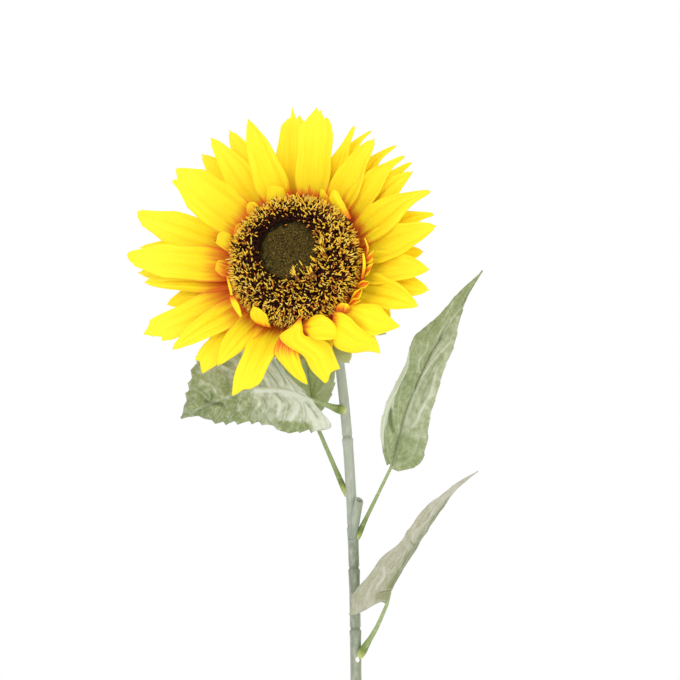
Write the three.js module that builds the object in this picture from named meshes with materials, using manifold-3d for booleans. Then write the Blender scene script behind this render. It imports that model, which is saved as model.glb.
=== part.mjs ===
// An artificial sunflower: one stem, one bloom and four leaves, in millimetres.
// +Z is up, the bloom looks to -Y, and the origin is the middle of the stem's flat cut foot.
import * as THREE from "three";
import { mergeVertices } from "three/addons/utils/BufferGeometryUtils.js";
import Module from "manifold-3d";

const wasm = await Module();
wasm.setup();

// ---- Driving dimensions ----

const CLEARANCE = 0.3; // between two pieces that seat on each other

// Stem: leans to -X by a power of its height, then nods over into the back of the bloom.
const STEM_FOOT_RADIUS = 3.9;
const STEM_NECK_RADIUS = 2.95;
const NECK_HEIGHT = 468; // where the straight stem ends and the nod begins
const NECK_LEAN = 11.2;
const LEAN_POWER = 6;
const NOD_PULL = 20; // how far the nod's handles reach
const STEM_SIDES = 10;
const JOINT_HEIGHTS = [416.6, 363.9, 339.4, 303.7]; // grooves between the moulded sections
const JOINT_PITCH = 43; // below the lowest of those
const JOINT_GROOVE = 0.55;
const JOINT_BEAD = 0.3;

// Cut side shoot that forks off the stem.
const SHOOT_FOOT_HEIGHT = 362;
const SHOOT_LENGTH = 19.5;
const SHOOT_LEAN_DEG = 17;
const SHOOT_RADIUS = 2.7;

// Bloom: its own frame has +Z along the flower's axis, towards the viewer and up to the left.
const BLOOM_CENTRE = new THREE.Vector3(-32.9, -36, 516.4);
const BLOOM_TILT_DEG = 20;
const BLOOM_TURN_DEG = 135; // direction of the tilt, from +X towards +Z

// Calyx cup behind the petals.
const CUP_FRONT = -8.7;
const CUP_BACK = -20;
const CUP_RADIUS = 31;
const CUP_SOCKET_RADIUS = 5.2;

// Every row of petals or sepals is one layer: a thin collar with its blades joined on.
const COLLAR_INNER = 26;
const COLLAR_OUTER = 31.5;
const COLLAR_THICKNESS = 0.8;
const PETAL_THICKNESS = 0.7;
const ROOT_RADIUS = 29.5;
const ROOT_FLAT = 4; // length that a blade runs flat before it rises
const PETAL_CUP = 0.07; // how much a petal's edges lift, as a share of its half width
const PETAL_TWIST_DEG = 3;
const PETAL_SWAY_DEG = 1.5;

// The bloom's lower petals lift and then arch over. LOW_DEG is the lower side's direction.
const LOW_DEG = 278;
const LOW_LIFT_DEG = 14;
const LOW_ARCH_DEG = 64;

// Tips: how wide the end is as a share of the widest, and how far short of the full length
// the blade is cut at its middle, halfway across and at its edge.
const TIPS = {
  point: { end: 0.12, cuts: [0, 0.03, 0.08] },
  crown: { end: 0.55, cuts: [0, 0.045, 0.22] },
  blunt: { end: 0.72, cuts: [0.05, 0, 0.2] },
  fork: { end: 0.85, cuts: [0.16, 0, 0.33] },
};

// Each blade is [direction, length, half width, tip].
const LAYERS = [
  {
    name: "sepal_layer_back", seat: -8.0, rise: -6, arch: 14,
    blades: [
      [2, 37, 8.5, "point"], [35, 39, 8.5, "point"], [73, 38, 9, "point"], [108, 41, 8.5, "point"],
      [146, 40, 9, "point"], [181, 42, 8.5, "point"], [214, 40, 9, "point"], [252, 38, 8.5, "point"],
      [290, 36, 9, "point"], [324, 34, 8.5, "point"],
    ],
  },
  {
    name: "sepal_layer_front", seat: -6.6, rise: 0, arch: 10,
    blades: [
      [19, 34, 8, "point"], [54, 35, 8, "point"], [90, 36, 8.5, "point"], [127, 36, 8, "point"],
      [163, 38, 8.5, "point"], [198, 37, 8, "point"], [233, 35, 8, "point"], [270, 33, 8.5, "point"],
      [306, 31, 8, "point"], [345, 31, 8, "point"],
    ],
  },
  {
    name: "petal_layer_back", seat: -5.2, rise: 9, arch: 6,
    blades: [
      [8, 44.8, 11.5, "point"], [22, 55.8, 10, "point"], [43, 59.3, 11, "fork"], [68, 60.2, 10.5, "fork"],
      [104, 58.8, 12, "point"], [120, 66.5, 11.5, "point"], [133, 63.2, 11.5, "point"],
      [152, 61.1, 12, "point"], [171, 62.9, 12, "point"], [196, 54.6, 11, "point"],
      [213, 62, 12, "point"], [230, 47.5, 11, "point"], [251, 38.5, 11, "point"],
      [287, 39.4, 12, "fork"], [319, 32.6, 12, "point"], [341, 41.4, 12, "point"],
    ],
  },
  {
    name: "petal_layer_middle", seat: -3.8, rise: 17, arch: 6,
    blades: [
      [28, 63.5, 10.5, "point"], [57, 60.6, 11.5, "fork"], [95, 64.8, 12.5, "crown"],
      [126, 66.4, 11, "point"], [163, 74.5, 12.5, "point"], [186, 67.3, 11.5, "crown"],
      [227, 56.8, 11.5, "fork"], [275, 43.2, 12, "point"], [330, 42.6, 12.5, "point"],
      [358, 51, 12, "point"],
    ],
  },
  {
    name: "petal_layer_front", seat: -2.4, rise: 25, arch: 6,
    blades: [
      [14, 63.3, 11, "point"], [44, 64.1, 9, "point"], [83, 66.2, 12, "crown"], [111, 66, 12.5, "point"],
      [146, 65.8, 14, "blunt"], [180, 75.2, 12, "crown"], [207, 72, 12.5, "point"],
      [248, 58.8, 13.5, "blunt"], [312, 45.5, 14, "blunt"], [344, 56.4, 13, "blunt"],
    ],
  },
];

// The short inner petals hug the disc: [direction, length, half width, rise, inward curl].
const CURL_SEAT = -1.0;
const CURLS = [
  [12, 21, 5, 50, 20], [34, 18, 5, 46, 10], [58, 23, 7, 46, 6], [82, 19, 6, 44, 8],
  [106, 22, 8, 45, 6], [129, 21, 6.5, 44, 8], [148, 18, 5, 46, 8], [165, 23, 7.5, 44, 6],
  [186, 20, 5, 45, 8], [206, 23, 5.5, 45, 12], [231, 34, 6.5, 40, 80], [257, 33, 8, 39, 80],
  [282, 35, 10, 39, 82], [308, 33, 8.5, 40, 80], [331, 25, 6.5, 48, 30], [352, 22, 5, 50, 20],
];

// Disc: a plush dome with a raised ring of florets round a felt patch, which sits off centre.
const DISC_FOOT_RADIUS = 30;
const DISC_RADIUS = 38.5;
const DISC_WIDEST = 12;
const DISC_CREST_RADIUS = 25;
const DISC_CREST = 29;
const DISC_SEGMENTS = 44;
const FLORET_LENGTH = 1.8;
const PATCH_RADIUS = 18.4;
const PATCH_FRONT = 27;
const PATCH_DEPTH = 5;
const PATCH_SHIFT = [-1.5, 4.5]; // off centre

// Leaves: the midrib and the two edges, from the foot of the blade to its tip. `teeth` is how
// far the edge's teeth stand out, and `notch` how far the foot is cut back beside the stalk.
const LEAF_THICKNESS = 1.25;
const LEAVES = [
  {
    name: "upper_left",
    stalk: [[-6.7, -1.5, 432.1], [-13.5, -3.5, 434.1], [-20.5, -5.5, 436.8], [-24.1, -6.6, 438.1]],
    stalkRadii: [2.6, 1.15],
    midrib: [
      [-26.3, -7, 438.8], [-35.1, -9.5, 442.3], [-44.5, -12, 444.4], [-54.4, -13, 444.9],
      [-64.3, -13.5, 444.4], [-73.1, -13, 441.7], [-82.5, -11.5, 437.9], [-90.7, -9, 434.4],
      [-96.5, -6.5, 431.5], [-103.5, -3, 427.7],
    ],
    nearEdge: [
      [-15.8, -5, 421.8], [-23.4, -7, 420.7], [-31.6, -9, 421], [-42.1, -10, 420.7],
      [-53.8, -11, 424.8], [-65.5, -11, 425.9], [-76.6, -10, 425.3], [-86.6, -8, 426.5],
      [-93.6, -6, 429.7], [-103.5, -3, 427.7],
    ],
    farEdge: [
      [-30.4, -9, 442.9], [-39.8, -8, 452.3], [-50.3, -7, 464], [-62, -6, 470.4],
      [-73.7, -5, 472.7], [-84.2, -4.5, 471.6], [-92.4, -4, 465.7], [-97.1, -4, 453.4],
      [-100, -4, 439.4], [-103.5, -3, 427.7],
    ],
    teeth: 1.0,
    notch: 0,
  },
  {
    name: "rear_left",
    stalk: [[-5.8, 0.5, 382.1], [-11.1, 3, 394.3], [-16.4, 4.5, 406.6], [-21.9, 6, 419.3]],
    stalkRadii: [2.2, 1.3],
    midrib: [
      [-22.2, 6, 419.8], [-24.3, 9, 428.3], [-26, 12, 437.6], [-27.8, 14.5, 448.2],
      [-29.5, 16, 459.3], [-31, 16.5, 471], [-32.8, 16, 482.7], [-34.5, 14.5, 492.6],
      [-35.7, 12, 502],
    ],
    nearEdge: [
      [-32.8, 3, 420.1], [-42.1, 3.5, 419.5], [-49.1, 5, 424.2], [-52.1, 7, 434.1],
      [-51.5, 8.5, 445.8], [-49.1, 9.5, 459.3], [-45.6, 10, 473.3], [-40.9, 11, 487.9],
      [-35.7, 12, 502],
    ],
    farEdge: [
      [-19.9, 4, 420.7], [-15.8, 6.5, 428.3], [-14, 8.5, 437.6], [-12.6, 10, 446.4],
      [-12.9, 10.5, 456.4], [-15.2, 11, 468], [-19.9, 11.5, 479.8], [-26.9, 12, 492],
      [-35.7, 12, 502],
    ],
    teeth: 0.5,
    notch: 2,
  },
  {
    name: "upper_right",
    stalk: [[0, -0.5, 356.3], [4.1, -0.8, 366], [11.4, -0.8, 380.9], [19.7, -1, 397.9]],
    stalkRadii: [2.2, 1],
    midrib: [
      [19.9, -1, 398.4], [22.8, -2.5, 408.4], [26, -4, 419.5], [29.8, -5.5, 432.4],
      [35.1, -6.5, 445.2], [41.5, -7, 459.3], [48.6, -6.5, 472.4], [57.3, -5, 487.4],
      [64.9, -2.5, 500.2], [74.3, 1, 514.9],
    ],
    nearEdge: [
      [17.5, -3, 400.2], [13.5, -7, 413.1], [11.1, -10.5, 423.6], [14, -13.5, 437.6],
      [19.6, -15, 449.3], [26.3, -15, 461.6], [32.8, -14, 475.4], [47.4, -10, 487.6],
      [60.3, -5, 502], [74.3, 1, 514.9],
    ],
    farEdge: [
      [25.4, -4, 397.6], [35.1, -8, 399.9], [40.9, -12, 413.6], [42.7, -14.5, 427.7],
      [46.5, -15.5, 441.7], [50.6, -15, 455.2], [56.7, -12.5, 469.8], [60.8, -9, 487.4],
      [65.2, -4, 499.6], [74.3, 1, 514.9],
    ],
    teeth: 0.3,
    notch: 2,
  },
  {
    name: "lower_right",
    stalk: [[1.2, -1.5, 287], [5.8, -3.5, 294.9], [11.7, -6, 304.8], [17.4, -8, 317.7]],
    stalkRadii: [2.4, 1.1],
    midrib: [
      [17.5, -8, 318.3], [20.5, -9.5, 327.1], [24.3, -10.5, 335.8], [29.2, -11.5, 345.2],
      [35.1, -12, 354.6], [40.9, -11.5, 363.3], [47.4, -10.5, 372.7], [54.1, -9, 381.8],
      [61.4, -7, 391.1], [71.4, -4, 396.7],
    ],
    nearEdge: [
      [-4.7, -14, 312.7], [-1.8, -17, 325.3], [5.8, -19.5, 334.7], [15.2, -21, 347],
      [25.7, -21.5, 356], [31.3, -20, 363.9], [39.8, -17.5, 374.7], [49.7, -13, 383.2],
      [59.7, -8, 389.7], [71.4, -4, 396.7],
    ],
    farEdge: [
      [12.3, -2, 321.2], [18.1, 1, 327.1], [24.9, 3, 335.3], [30.4, 3.5, 344.6], [36.3, 3, 354],
      [41.8, 2, 362.8], [47.7, 0.5, 372.1], [54.1, -2, 381.5], [61.1, -4, 390.8],
      [71.4, -4, 396.7],
    ],
    teeth: 0.3,
    notch: 7,
  },
];

// Looks
const FINISHES = {
  stem: { color: 0xb4b8a6, roughness: 0.62 },
  stalk: { color: 0x9fae70, roughness: 0.55 },
  leaf: { color: 0x9da982, roughness: 0.85 },
  calyx: { color: 0x9aa657, roughness: 0.75 },
  sepal: { color: 0x93a15a, roughness: 0.8 },
  petal: { color: 0xf7e41c, roughness: 0.7 },
  floret: { color: 0x6b4a1c, roughness: 0.95 },
  felt: { color: 0x4a3f1d, roughness: 1.0 },
};

// ---- Small helpers ----

const vector = (point) => new THREE.Vector3(...point);
const radians = THREE.MathUtils.degToRad;
const mix = THREE.MathUtils.lerp;
const smooth = THREE.MathUtils.smoothstep;

function welded(geometry) {
  geometry.deleteAttribute("normal");
  geometry.deleteAttribute("uv");
  return mergeVertices(geometry, 1e-4);
}

function toSolid(geometry) {
  const vertProperties = geometry.attributes.position.array;
  const triVerts = new Uint32Array(geometry.index.array);
  return new wasm.Manifold(new wasm.Mesh({ numProp: 3, vertProperties, triVerts }));
}

function fromSolid(solid) {
  const { vertProperties, triVerts } = solid.getMesh();
  return new THREE.BufferGeometry()
    .setAttribute("position", new THREE.BufferAttribute(vertProperties, 3))
    .setIndex(new THREE.BufferAttribute(triVerts, 1));
}

function named(name, geometry, finish) {
  const material = new THREE.MeshStandardMaterial({ ...FINISHES[finish], metalness: 0 });
  const mesh = new THREE.Mesh(geometry, material);
  mesh.name = name;
  return mesh;
}

// ---- Shapes ----

// A thin closed sheet that lies on surface(along 0 to 1, across -1 to 1), cut at the stations.
function sheet(stations, strips, thickness, surface) {
  const steps = stations.length - 1;
  const geometry = new THREE.BoxGeometry(1, 2, 1, steps, strips, 1);
  const spots = geometry.attributes.position;
  const nudge = 1e-3;
  for (let i = 0; i < spots.count; i++) {
    const along = stations[Math.round((spots.getX(i) + 0.5) * steps)];
    const across = spots.getY(i);
    const lengthwise = surface(along + nudge, across).sub(surface(along - nudge, across));
    const crosswise = surface(along, across + nudge).sub(surface(along, across - nudge));
    const normal = lengthwise.cross(crosswise).normalize();
    const point = surface(along, across).addScaledVector(normal, spots.getZ(i) * thickness);
    spots.setXYZ(i, point.x, point.y, point.z);
  }
  return welded(geometry);
}

// A tapering limb along a curve, with a ring of points at each station {at, radius}.
// crossing is a direction that the curve never runs in.
function limb(curve, stations, sides, crossing) {
  const geometry = new THREE.CylinderGeometry(1, 1, 1, sides, stations.length - 1);
  const spots = geometry.attributes.position;
  for (let i = 0; i < spots.count; i++) {
    const ring = Math.round((spots.getY(i) + 0.5) * (stations.length - 1));
    const { at, radius } = stations[ring];
    const forward = curve.getTangent(at);
    const sideways = crossing.clone().addScaledVector(forward, -crossing.dot(forward)).normalize();
    const upward = sideways.clone().cross(forward);
    const point = curve
      .getPoint(at)
      .addScaledVector(sideways, spots.getX(i) * radius)
      .addScaledVector(upward, spots.getZ(i) * radius);
    spots.setXYZ(i, point.x, point.y, point.z);
  }
  return welded(geometry);
}

// A solid of revolution about +Z, from a closed profile of [radius, height]. Reshape moves
// a point of the skin, and is told its place round the axis and its place in the profile.
function turned(profile, segments, reshape) {
  const points = profile.map(([radius, height]) => new THREE.Vector2(radius, height));
  const geometry = new THREE.LatheGeometry(points, segments);
  const spots = geometry.attributes.position;
  for (let i = 0; reshape && i < spots.count; i++) {
    const place = Math.floor(i / points.length) % segments;
    const spot = new THREE.Vector3().fromBufferAttribute(spots, i);
    reshape(spot, place, i % points.length);
    spots.setXYZ(i, spot.x, spot.y, spot.z);
  }
  return welded(geometry).rotateX(Math.PI / 2);
}

// ---- Bloom frame ----

const tilt = radians(BLOOM_TILT_DEG);
const turn = radians(BLOOM_TURN_DEG);
const bloomAxis = new THREE.Vector3(
  Math.cos(turn) * Math.sin(tilt),
  -Math.cos(tilt),
  Math.sin(turn) * Math.sin(tilt),
);
const bloomUp = new THREE.Vector3(0, 0, 1).addScaledVector(bloomAxis, -bloomAxis.z).normalize();
const bloomRight = bloomUp.clone().cross(bloomAxis);
const bloom = new THREE.Group();
bloom.position.copy(BLOOM_CENTRE);
bloom.quaternion.setFromRotationMatrix(
  new THREE.Matrix4().makeBasis(bloomRight, bloomUp, bloomAxis),
);

// ---- Stem ----

const cupBack = BLOOM_CENTRE.clone().addScaledVector(bloomAxis, CUP_BACK - CLEARANCE);

const leanAt = (height) => -NECK_LEAN * (height / NECK_HEIGHT) ** LEAN_POWER;

// The straight stem, with `at` as the share of NECK_HEIGHT.
class LeaningStem extends THREE.Curve {
  getPoint(at) {
    return new THREE.Vector3(leanAt(at * NECK_HEIGHT), 0, at * NECK_HEIGHT);
  }
}

// Straight stem and nod as one curve: `at` below 0.5 is the stem, and above it the nod.
class NoddingStem extends THREE.Curve {
  constructor() {
    super();
    this.straight = new LeaningStem();
    const neck = this.straight.getPoint(1);
    const rise = this.straight.getTangent(1);
    this.nod = new THREE.CubicBezierCurve3(
      neck,
      neck.clone().addScaledVector(rise, NOD_PULL),
      cupBack.clone().addScaledVector(bloomAxis, -NOD_PULL),
      cupBack,
    );
  }
  getPoint(at) {
    return at <= 0.5 ? this.straight.getPoint(2 * at) : this.nod.getPoint(2 * at - 1);
  }
  getTangent(at) {
    return at <= 0.5 ? this.straight.getTangent(2 * at) : this.nod.getTangent(2 * at - 1);
  }
}

const stemCurve = new NoddingStem();
const atHeight = (height) => (0.5 * height) / NECK_HEIGHT;
const stemRadius = (height) => mix(STEM_FOOT_RADIUS, STEM_NECK_RADIUS, height / NECK_HEIGHT);

function jointHeights() {
  const heights = [...JOINT_HEIGHTS];
  const lowest = heights.at(-1);
  for (let height = lowest - JOINT_PITCH; height > JOINT_PITCH / 2; height -= JOINT_PITCH) {
    heights.push(height);
  }
  return heights.reverse();
}

// Stations up the stem, each wider by `grown`: a groove and a bead at every joint.
function stemStations(grown) {
  const stations = [{ at: 0, radius: STEM_FOOT_RADIUS + grown }];
  for (const height of jointHeights()) {
    const radius = stemRadius(height) + grown;
    stations.push(
      { at: atHeight(height - 7), radius },
      { at: atHeight(height - 1.6), radius: radius + JOINT_BEAD },
      { at: atHeight(height), radius: radius - JOINT_GROOVE },
      { at: atHeight(height + 4), radius },
    );
  }
  const nodSteps = 7;
  for (let step = 0; step <= nodSteps; step++) {
    stations.push({ at: 0.5 + (0.5 * step) / nodSteps, radius: STEM_NECK_RADIUS + grown });
  }
  return stations;
}

function shootCurve() {
  const foot = new THREE.Vector3(leanAt(SHOOT_FOOT_HEIGHT), 0, SHOOT_FOOT_HEIGHT);
  const lean = radians(SHOOT_LEAN_DEG);
  const way = new THREE.Vector3(Math.sin(lean), -0.08, Math.cos(lean));
  return new THREE.LineCurve3(foot, foot.clone().addScaledVector(way, SHOOT_LENGTH));
}

const EAST = new THREE.Vector3(1, 0, 0);
const NORTH = new THREE.Vector3(0, 1, 0);

function stemSolid(grown) {
  const main = toSolid(limb(stemCurve, stemStations(grown), STEM_SIDES, EAST));
  const radius = SHOOT_RADIUS + grown;
  const shoot = toSolid(limb(shootCurve(), [{ at: 0, radius }, { at: 1, radius }], 8, NORTH));
  return main.add(shoot);
}

const stem = named("main_stem", fromSolid(stemSolid(0)), "stem");

// ---- Leaves ----

const LEAF_STEPS = 18;
const leafStations = Array.from({ length: LEAF_STEPS + 1 }, (_, i) => i / LEAF_STEPS);

// `along` runs up the midrib, and `across` from the far edge at -1 to the near edge at 1.
function leafSurface(leaf) {
  const throughPoints = (points) => new THREE.CatmullRomCurve3(points.map(vector), false, "catmullrom");
  const midrib = throughPoints(leaf.midrib);
  const near = throughPoints(leaf.nearEdge);
  const far = throughPoints(leaf.farEdge);
  return (along, across) => {
    const at = THREE.MathUtils.clamp(along, 0, 1);
    const open = Math.min(at, 0.98); // keeps a narrow end at the tip
    const reach = Math.abs(across);
    const forward = midrib.getTangent(at);
    const spread = (across > 0 ? near : far).getPoint(open).sub(midrib.getPoint(open));
    const standsOut = Math.round(at * LEAF_STEPS) % 2 ? leaf.teeth : 0;
    const tooth = reach > 0.99 && at > 0.05 && at < 0.95 ? standsOut : 0;
    const cutBack = across > 0 ? leaf.notch * 6.75 * reach * (1 - reach) ** 2 : 0;
    const fromFoot = Math.max(0, 1 - at / 0.15);
    return midrib
      .getPoint(at)
      .addScaledVector(forward, (along - at) * 100 + cutBack * fromFoot)
      .addScaledVector(spread, reach)
      .addScaledVector(spread.normalize(), tooth);
  };
}

// A stalk is a wide sleeve at the stem, thins towards the blade and stops just short of it.
function leafStalk(leaf) {
  const curve = new THREE.CatmullRomCurve3(leaf.stalk.map(vector), false, "catmullrom");
  const [sleeve, slim] = leaf.stalkRadii;
  const stations = [
    { at: 0, radius: sleeve },
    { at: 0.24, radius: sleeve },
    { at: 0.33, radius: mix(sleeve, slim, 0.55) },
    { at: 0.65, radius: mix(sleeve, slim, 0.8) },
    { at: 1, radius: slim },
  ];
  return fromSolid(toSolid(limb(curve, stations, 8, NORTH)).subtract(stemSolid(CLEARANCE)));
}

const leaves = LEAVES.flatMap((leaf) => [
  named(`leaf_stalk_${leaf.name}`, leafStalk(leaf), "stalk"),
  named(`leaf_${leaf.name}`, sheet(leafStations, 4, LEAF_THICKNESS, leafSurface(leaf)), "leaf"),
]);

// ---- Petals and sepals ----

// How near a direction is to the bloom's lower side, from 0 to 1.
const lowness = (degrees) => ((1 + Math.cos(radians(degrees - LOW_DEG))) / 2) ** 3;

// A blade of one of the broad layers, which lifts and arches more on the lower side.
function layerBlade(layer, [degrees, reach, half, tip]) {
  const low = lowness(degrees);
  const small = layer.name.startsWith("sepal");
  return {
    degrees,
    reach,
    half,
    tip: TIPS[tip],
    seat: layer.seat,
    rise: layer.rise + LOW_LIFT_DEG * low + PETAL_SWAY_DEG * Math.sin(radians(2.9 * degrees)),
    arch: layer.arch + LOW_ARCH_DEG * low * (small ? 0.6 : 1),
    twist: PETAL_TWIST_DEG * Math.sin(radians(1.7 * degrees)),
    steps: 5,
    strips: small ? 2 : 4,
  };
}

function curlBlade([degrees, reach, half, rise, inward]) {
  const tip = TIPS.point;
  return { degrees, reach, half, tip, seat: CURL_SEAT, rise, arch: -inward, twist: 0, steps: 6, strips: 2 };
}

// Half width along a blade, as a share of its widest: a tapering root, then a run to the tip.
function bladeOutline(along, end) {
  if (along < 0.45) return mix(0.42, 1, Math.sin((along / 0.45) * (Math.PI / 2)));
  return mix(1, end, ((along - 0.45) / 0.55) ** 1.7);
}

// How far short of the full length a blade is cut, at a distance across from 0 to 1.
function tipCut([middle, between, edge], reach) {
  return reach < 0.5 ? mix(middle, between, reach / 0.5) : mix(between, edge, reach / 0.5 - 1);
}

function bladeSurface(blade) {
  const steps = 24;
  const flat = ROOT_FLAT / blade.reach;
  const inclination = (along) =>
    radians((blade.rise - blade.arch * along ** 1.4) * smooth(along, 0.4 * flat, 1.6 * flat));
  const centreline = [new THREE.Vector2(ROOT_RADIUS, blade.seat)];
  for (let i = 0; i < steps; i++) {
    const slope = inclination((i + 0.5) / steps);
    const step = new THREE.Vector2(Math.cos(slope), Math.sin(slope));
    centreline.push(centreline[i].clone().addScaledVector(step, blade.reach / steps));
  }
  const angle = radians(blade.degrees);
  const outward = new THREE.Vector3(Math.cos(angle), Math.sin(angle), 0);
  const around = new THREE.Vector3(-outward.y, outward.x, 0);
  return (along, across) => {
    const short = along * (1 - tipCut(blade.tip.cuts, Math.abs(across)) * smooth(along, 0.55, 1));
    const place = THREE.MathUtils.clamp(short, 0, 1) * steps;
    const i = Math.min(Math.floor(place), steps - 1);
    const spot = centreline[i].clone().lerp(centreline[i + 1], place - i);
    const overrun = (short - place / steps) * blade.reach;
    const half = blade.half * bladeOutline(place / steps, blade.tip.end);
    const open = smooth(place / steps, flat, 0.35);
    const lift = PETAL_CUP * half * across * across * open;
    const roll = radians(blade.twist) * open;
    const aside = half * across;
    return outward
      .clone()
      .multiplyScalar(spot.x + overrun)
      .addScaledVector(around, aside * Math.cos(roll))
      .add(new THREE.Vector3(0, 0, spot.y + lift + aside * Math.sin(roll)));
  };
}

// The stations of a blade: the first is the end of its flat root.
function bladeStations(blade) {
  const root = (ROOT_FLAT + 1) / blade.reach;
  return Array.from({ length: blade.steps + 1 }, (_, i) =>
    i ? mix(root, 1, ((i - 1) / (blade.steps - 1)) ** 1.1) : 0,
  );
}

function collar(seat) {
  const back = seat - COLLAR_THICKNESS / 2;
  const front = seat + COLLAR_THICKNESS / 2;
  const section = [
    [COLLAR_INNER, back],
    [COLLAR_OUTER, back],
    [COLLAR_OUTER, front],
    [COLLAR_INNER, front],
    [COLLAR_INNER, back],
  ];
  return toSolid(turned(section, 24));
}

function layerSolid(seat, blades) {
  const sheets = blades.map((blade) =>
    toSolid(sheet(bladeStations(blade), blade.strips, PETAL_THICKNESS, bladeSurface(blade))),
  );
  return fromSolid(wasm.Manifold.union([collar(seat), ...sheets]));
}

for (const layer of LAYERS) {
  const blades = layer.blades.map((row) => layerBlade(layer, row));
  const finish = layer.name.startsWith("sepal") ? "sepal" : "petal";
  bloom.add(named(layer.name, layerSolid(layer.seat, blades), finish));
}
bloom.add(named("petal_layer_curls", layerSolid(CURL_SEAT, CURLS.map(curlBlade)), "petal"));

// ---- Calyx cup and disc ----

function calyxCup() {
  const profile = [
    [0, CUP_BACK],
    [CUP_SOCKET_RADIUS, CUP_BACK],
    [CUP_SOCKET_RADIUS + 2.5, CUP_BACK + 3.5],
    [CUP_RADIUS * 0.62, CUP_BACK + 7],
    [CUP_RADIUS * 0.9, CUP_FRONT - 3],
    [CUP_RADIUS, CUP_FRONT],
    [0, CUP_FRONT],
  ];
  return turned(profile, 28);
}

// Every other point of the dome's outer skin stands up as a floret.
function discDome() {
  const profile = [[0, CLEARANCE], [DISC_FOOT_RADIUS, CLEARANCE]];
  const foot = profile.length;
  const rings = 9;
  const bulge = DISC_RADIUS - DISC_CREST_RADIUS;
  for (let i = 0; i <= rings; i++) {
    const angle = mix(radians(-35), radians(90), i / rings);
    const height = angle < 0 ? DISC_WIDEST - 4 : DISC_CREST - DISC_WIDEST;
    profile.push([
      DISC_CREST_RADIUS + bulge * Math.cos(angle),
      DISC_WIDEST + height * Math.sin(angle),
    ]);
  }
  profile.push([PATCH_RADIUS - 4, PATCH_FRONT + 1], [0, PATCH_FRONT + 1]);
  const centre = new THREE.Vector3(0, DISC_WIDEST, 0);
  return turned(profile, DISC_SEGMENTS, (spot, place, level) => {
    const ring = level - foot;
    if (ring < 1 || ring > rings || (place + ring) % 2) return;
    const outward = spot.clone().sub(centre).normalize();
    spot.addScaledVector(outward, FLORET_LENGTH);
  });
}

function patchDisc(radius, front, back) {
  const edge = 1.2;
  const profile = [[0, back], [radius, back], [radius, front - edge], [radius - edge, front], [0, front + edge]];
  return turned(profile, 24).translate(...PATCH_SHIFT, 0);
}

const patchBack = PATCH_FRONT - PATCH_DEPTH;
const seatForPatch = toSolid(patchDisc(PATCH_RADIUS + CLEARANCE, DISC_CREST + 9, patchBack - CLEARANCE));
const dome = toSolid(discDome()).subtract(seatForPatch);

bloom.add(named("calyx_cup", calyxCup(), "calyx"));
bloom.add(named("disc_floret_ring", fromSolid(dome), "floret"));
bloom.add(named("disc_centre", patchDisc(PATCH_RADIUS, PATCH_FRONT, patchBack), "felt"));

// ---- The whole plant ----

const sunflower = new THREE.Group();
sunflower.add(stem, ...leaves, bloom);

export default sunflower;
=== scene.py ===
"""An artificial sunflower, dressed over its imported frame. Lengths are in millimetres until a
mesh is written; the bloom has a frame of its own, with Z along the flower's axis."""

import math
import random

import bmesh
import bpy
import numpy as np
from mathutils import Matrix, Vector


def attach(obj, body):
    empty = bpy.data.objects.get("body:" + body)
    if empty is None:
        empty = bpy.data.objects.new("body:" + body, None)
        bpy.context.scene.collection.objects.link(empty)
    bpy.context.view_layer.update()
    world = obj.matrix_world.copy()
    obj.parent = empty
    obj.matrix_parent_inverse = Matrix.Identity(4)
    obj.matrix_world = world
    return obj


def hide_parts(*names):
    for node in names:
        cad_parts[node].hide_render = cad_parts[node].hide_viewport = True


MM = 0.001

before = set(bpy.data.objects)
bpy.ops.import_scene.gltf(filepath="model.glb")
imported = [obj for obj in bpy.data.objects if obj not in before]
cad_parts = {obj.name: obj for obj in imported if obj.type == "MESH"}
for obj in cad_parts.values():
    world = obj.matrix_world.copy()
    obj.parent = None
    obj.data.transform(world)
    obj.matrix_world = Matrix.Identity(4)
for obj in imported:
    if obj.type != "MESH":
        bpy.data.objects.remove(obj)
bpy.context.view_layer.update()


# ---- Small maths ----


def smooth(x, low, high):
    t = np.clip((x - low) / (high - low), 0.0, 1.0)
    return t * t * (3 - 2 * t)


def mix(a, b, t):
    return a + (b - a) * t


def through(points, t):
    """Points at the shares t of a uniform Catmull-Rom curve."""
    p = np.asarray(points, float)
    t = np.atleast_1d(np.asarray(t, float))
    last = len(p) - 1
    padded = np.vstack([2 * p[0] - p[1], p, 2 * p[-1] - p[-2]])
    place = np.clip(t, 0, 1) * last
    i = np.minimum(place.astype(int), last - 1)
    w = (place - i)[:, None]
    p0, p1, p2, p3 = padded[i], padded[i + 1], padded[i + 2], padded[i + 3]
    v0, v1 = (p2 - p0) / 2, (p3 - p1) / 2
    return (
        (2 * p1 - 2 * p2 + v0 + v1) * w**3
        + (-3 * p1 + 3 * p2 - 2 * v0 - v1) * w**2
        + v0 * w
        + p1
    )


def unit(v):
    return v / np.maximum(np.linalg.norm(v, axis=-1, keepdims=True), 1e-9)


def normals(points):
    """The direction that a grid of points faces at each of them."""
    return unit(np.cross(np.gradient(points, axis=0), np.gradient(points, axis=1)))


def paired(a, b):
    """Two arrays that fit each other, as one array of pairs."""
    return np.stack(np.broadcast_arrays(a, b), -1)


def running(steps):
    """The running total of the steps, from 0."""
    return np.concatenate([[0], np.cumsum(steps)])


def run_along(line):
    """How far along a line each of its points lies."""
    return running(np.linalg.norm(np.diff(line, axis=0), axis=1))


def turns(sides):
    """The angles of a ring's vertices, with the first one again as the last."""
    return np.linspace(0, 2 * math.pi, sides + 1)


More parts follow.
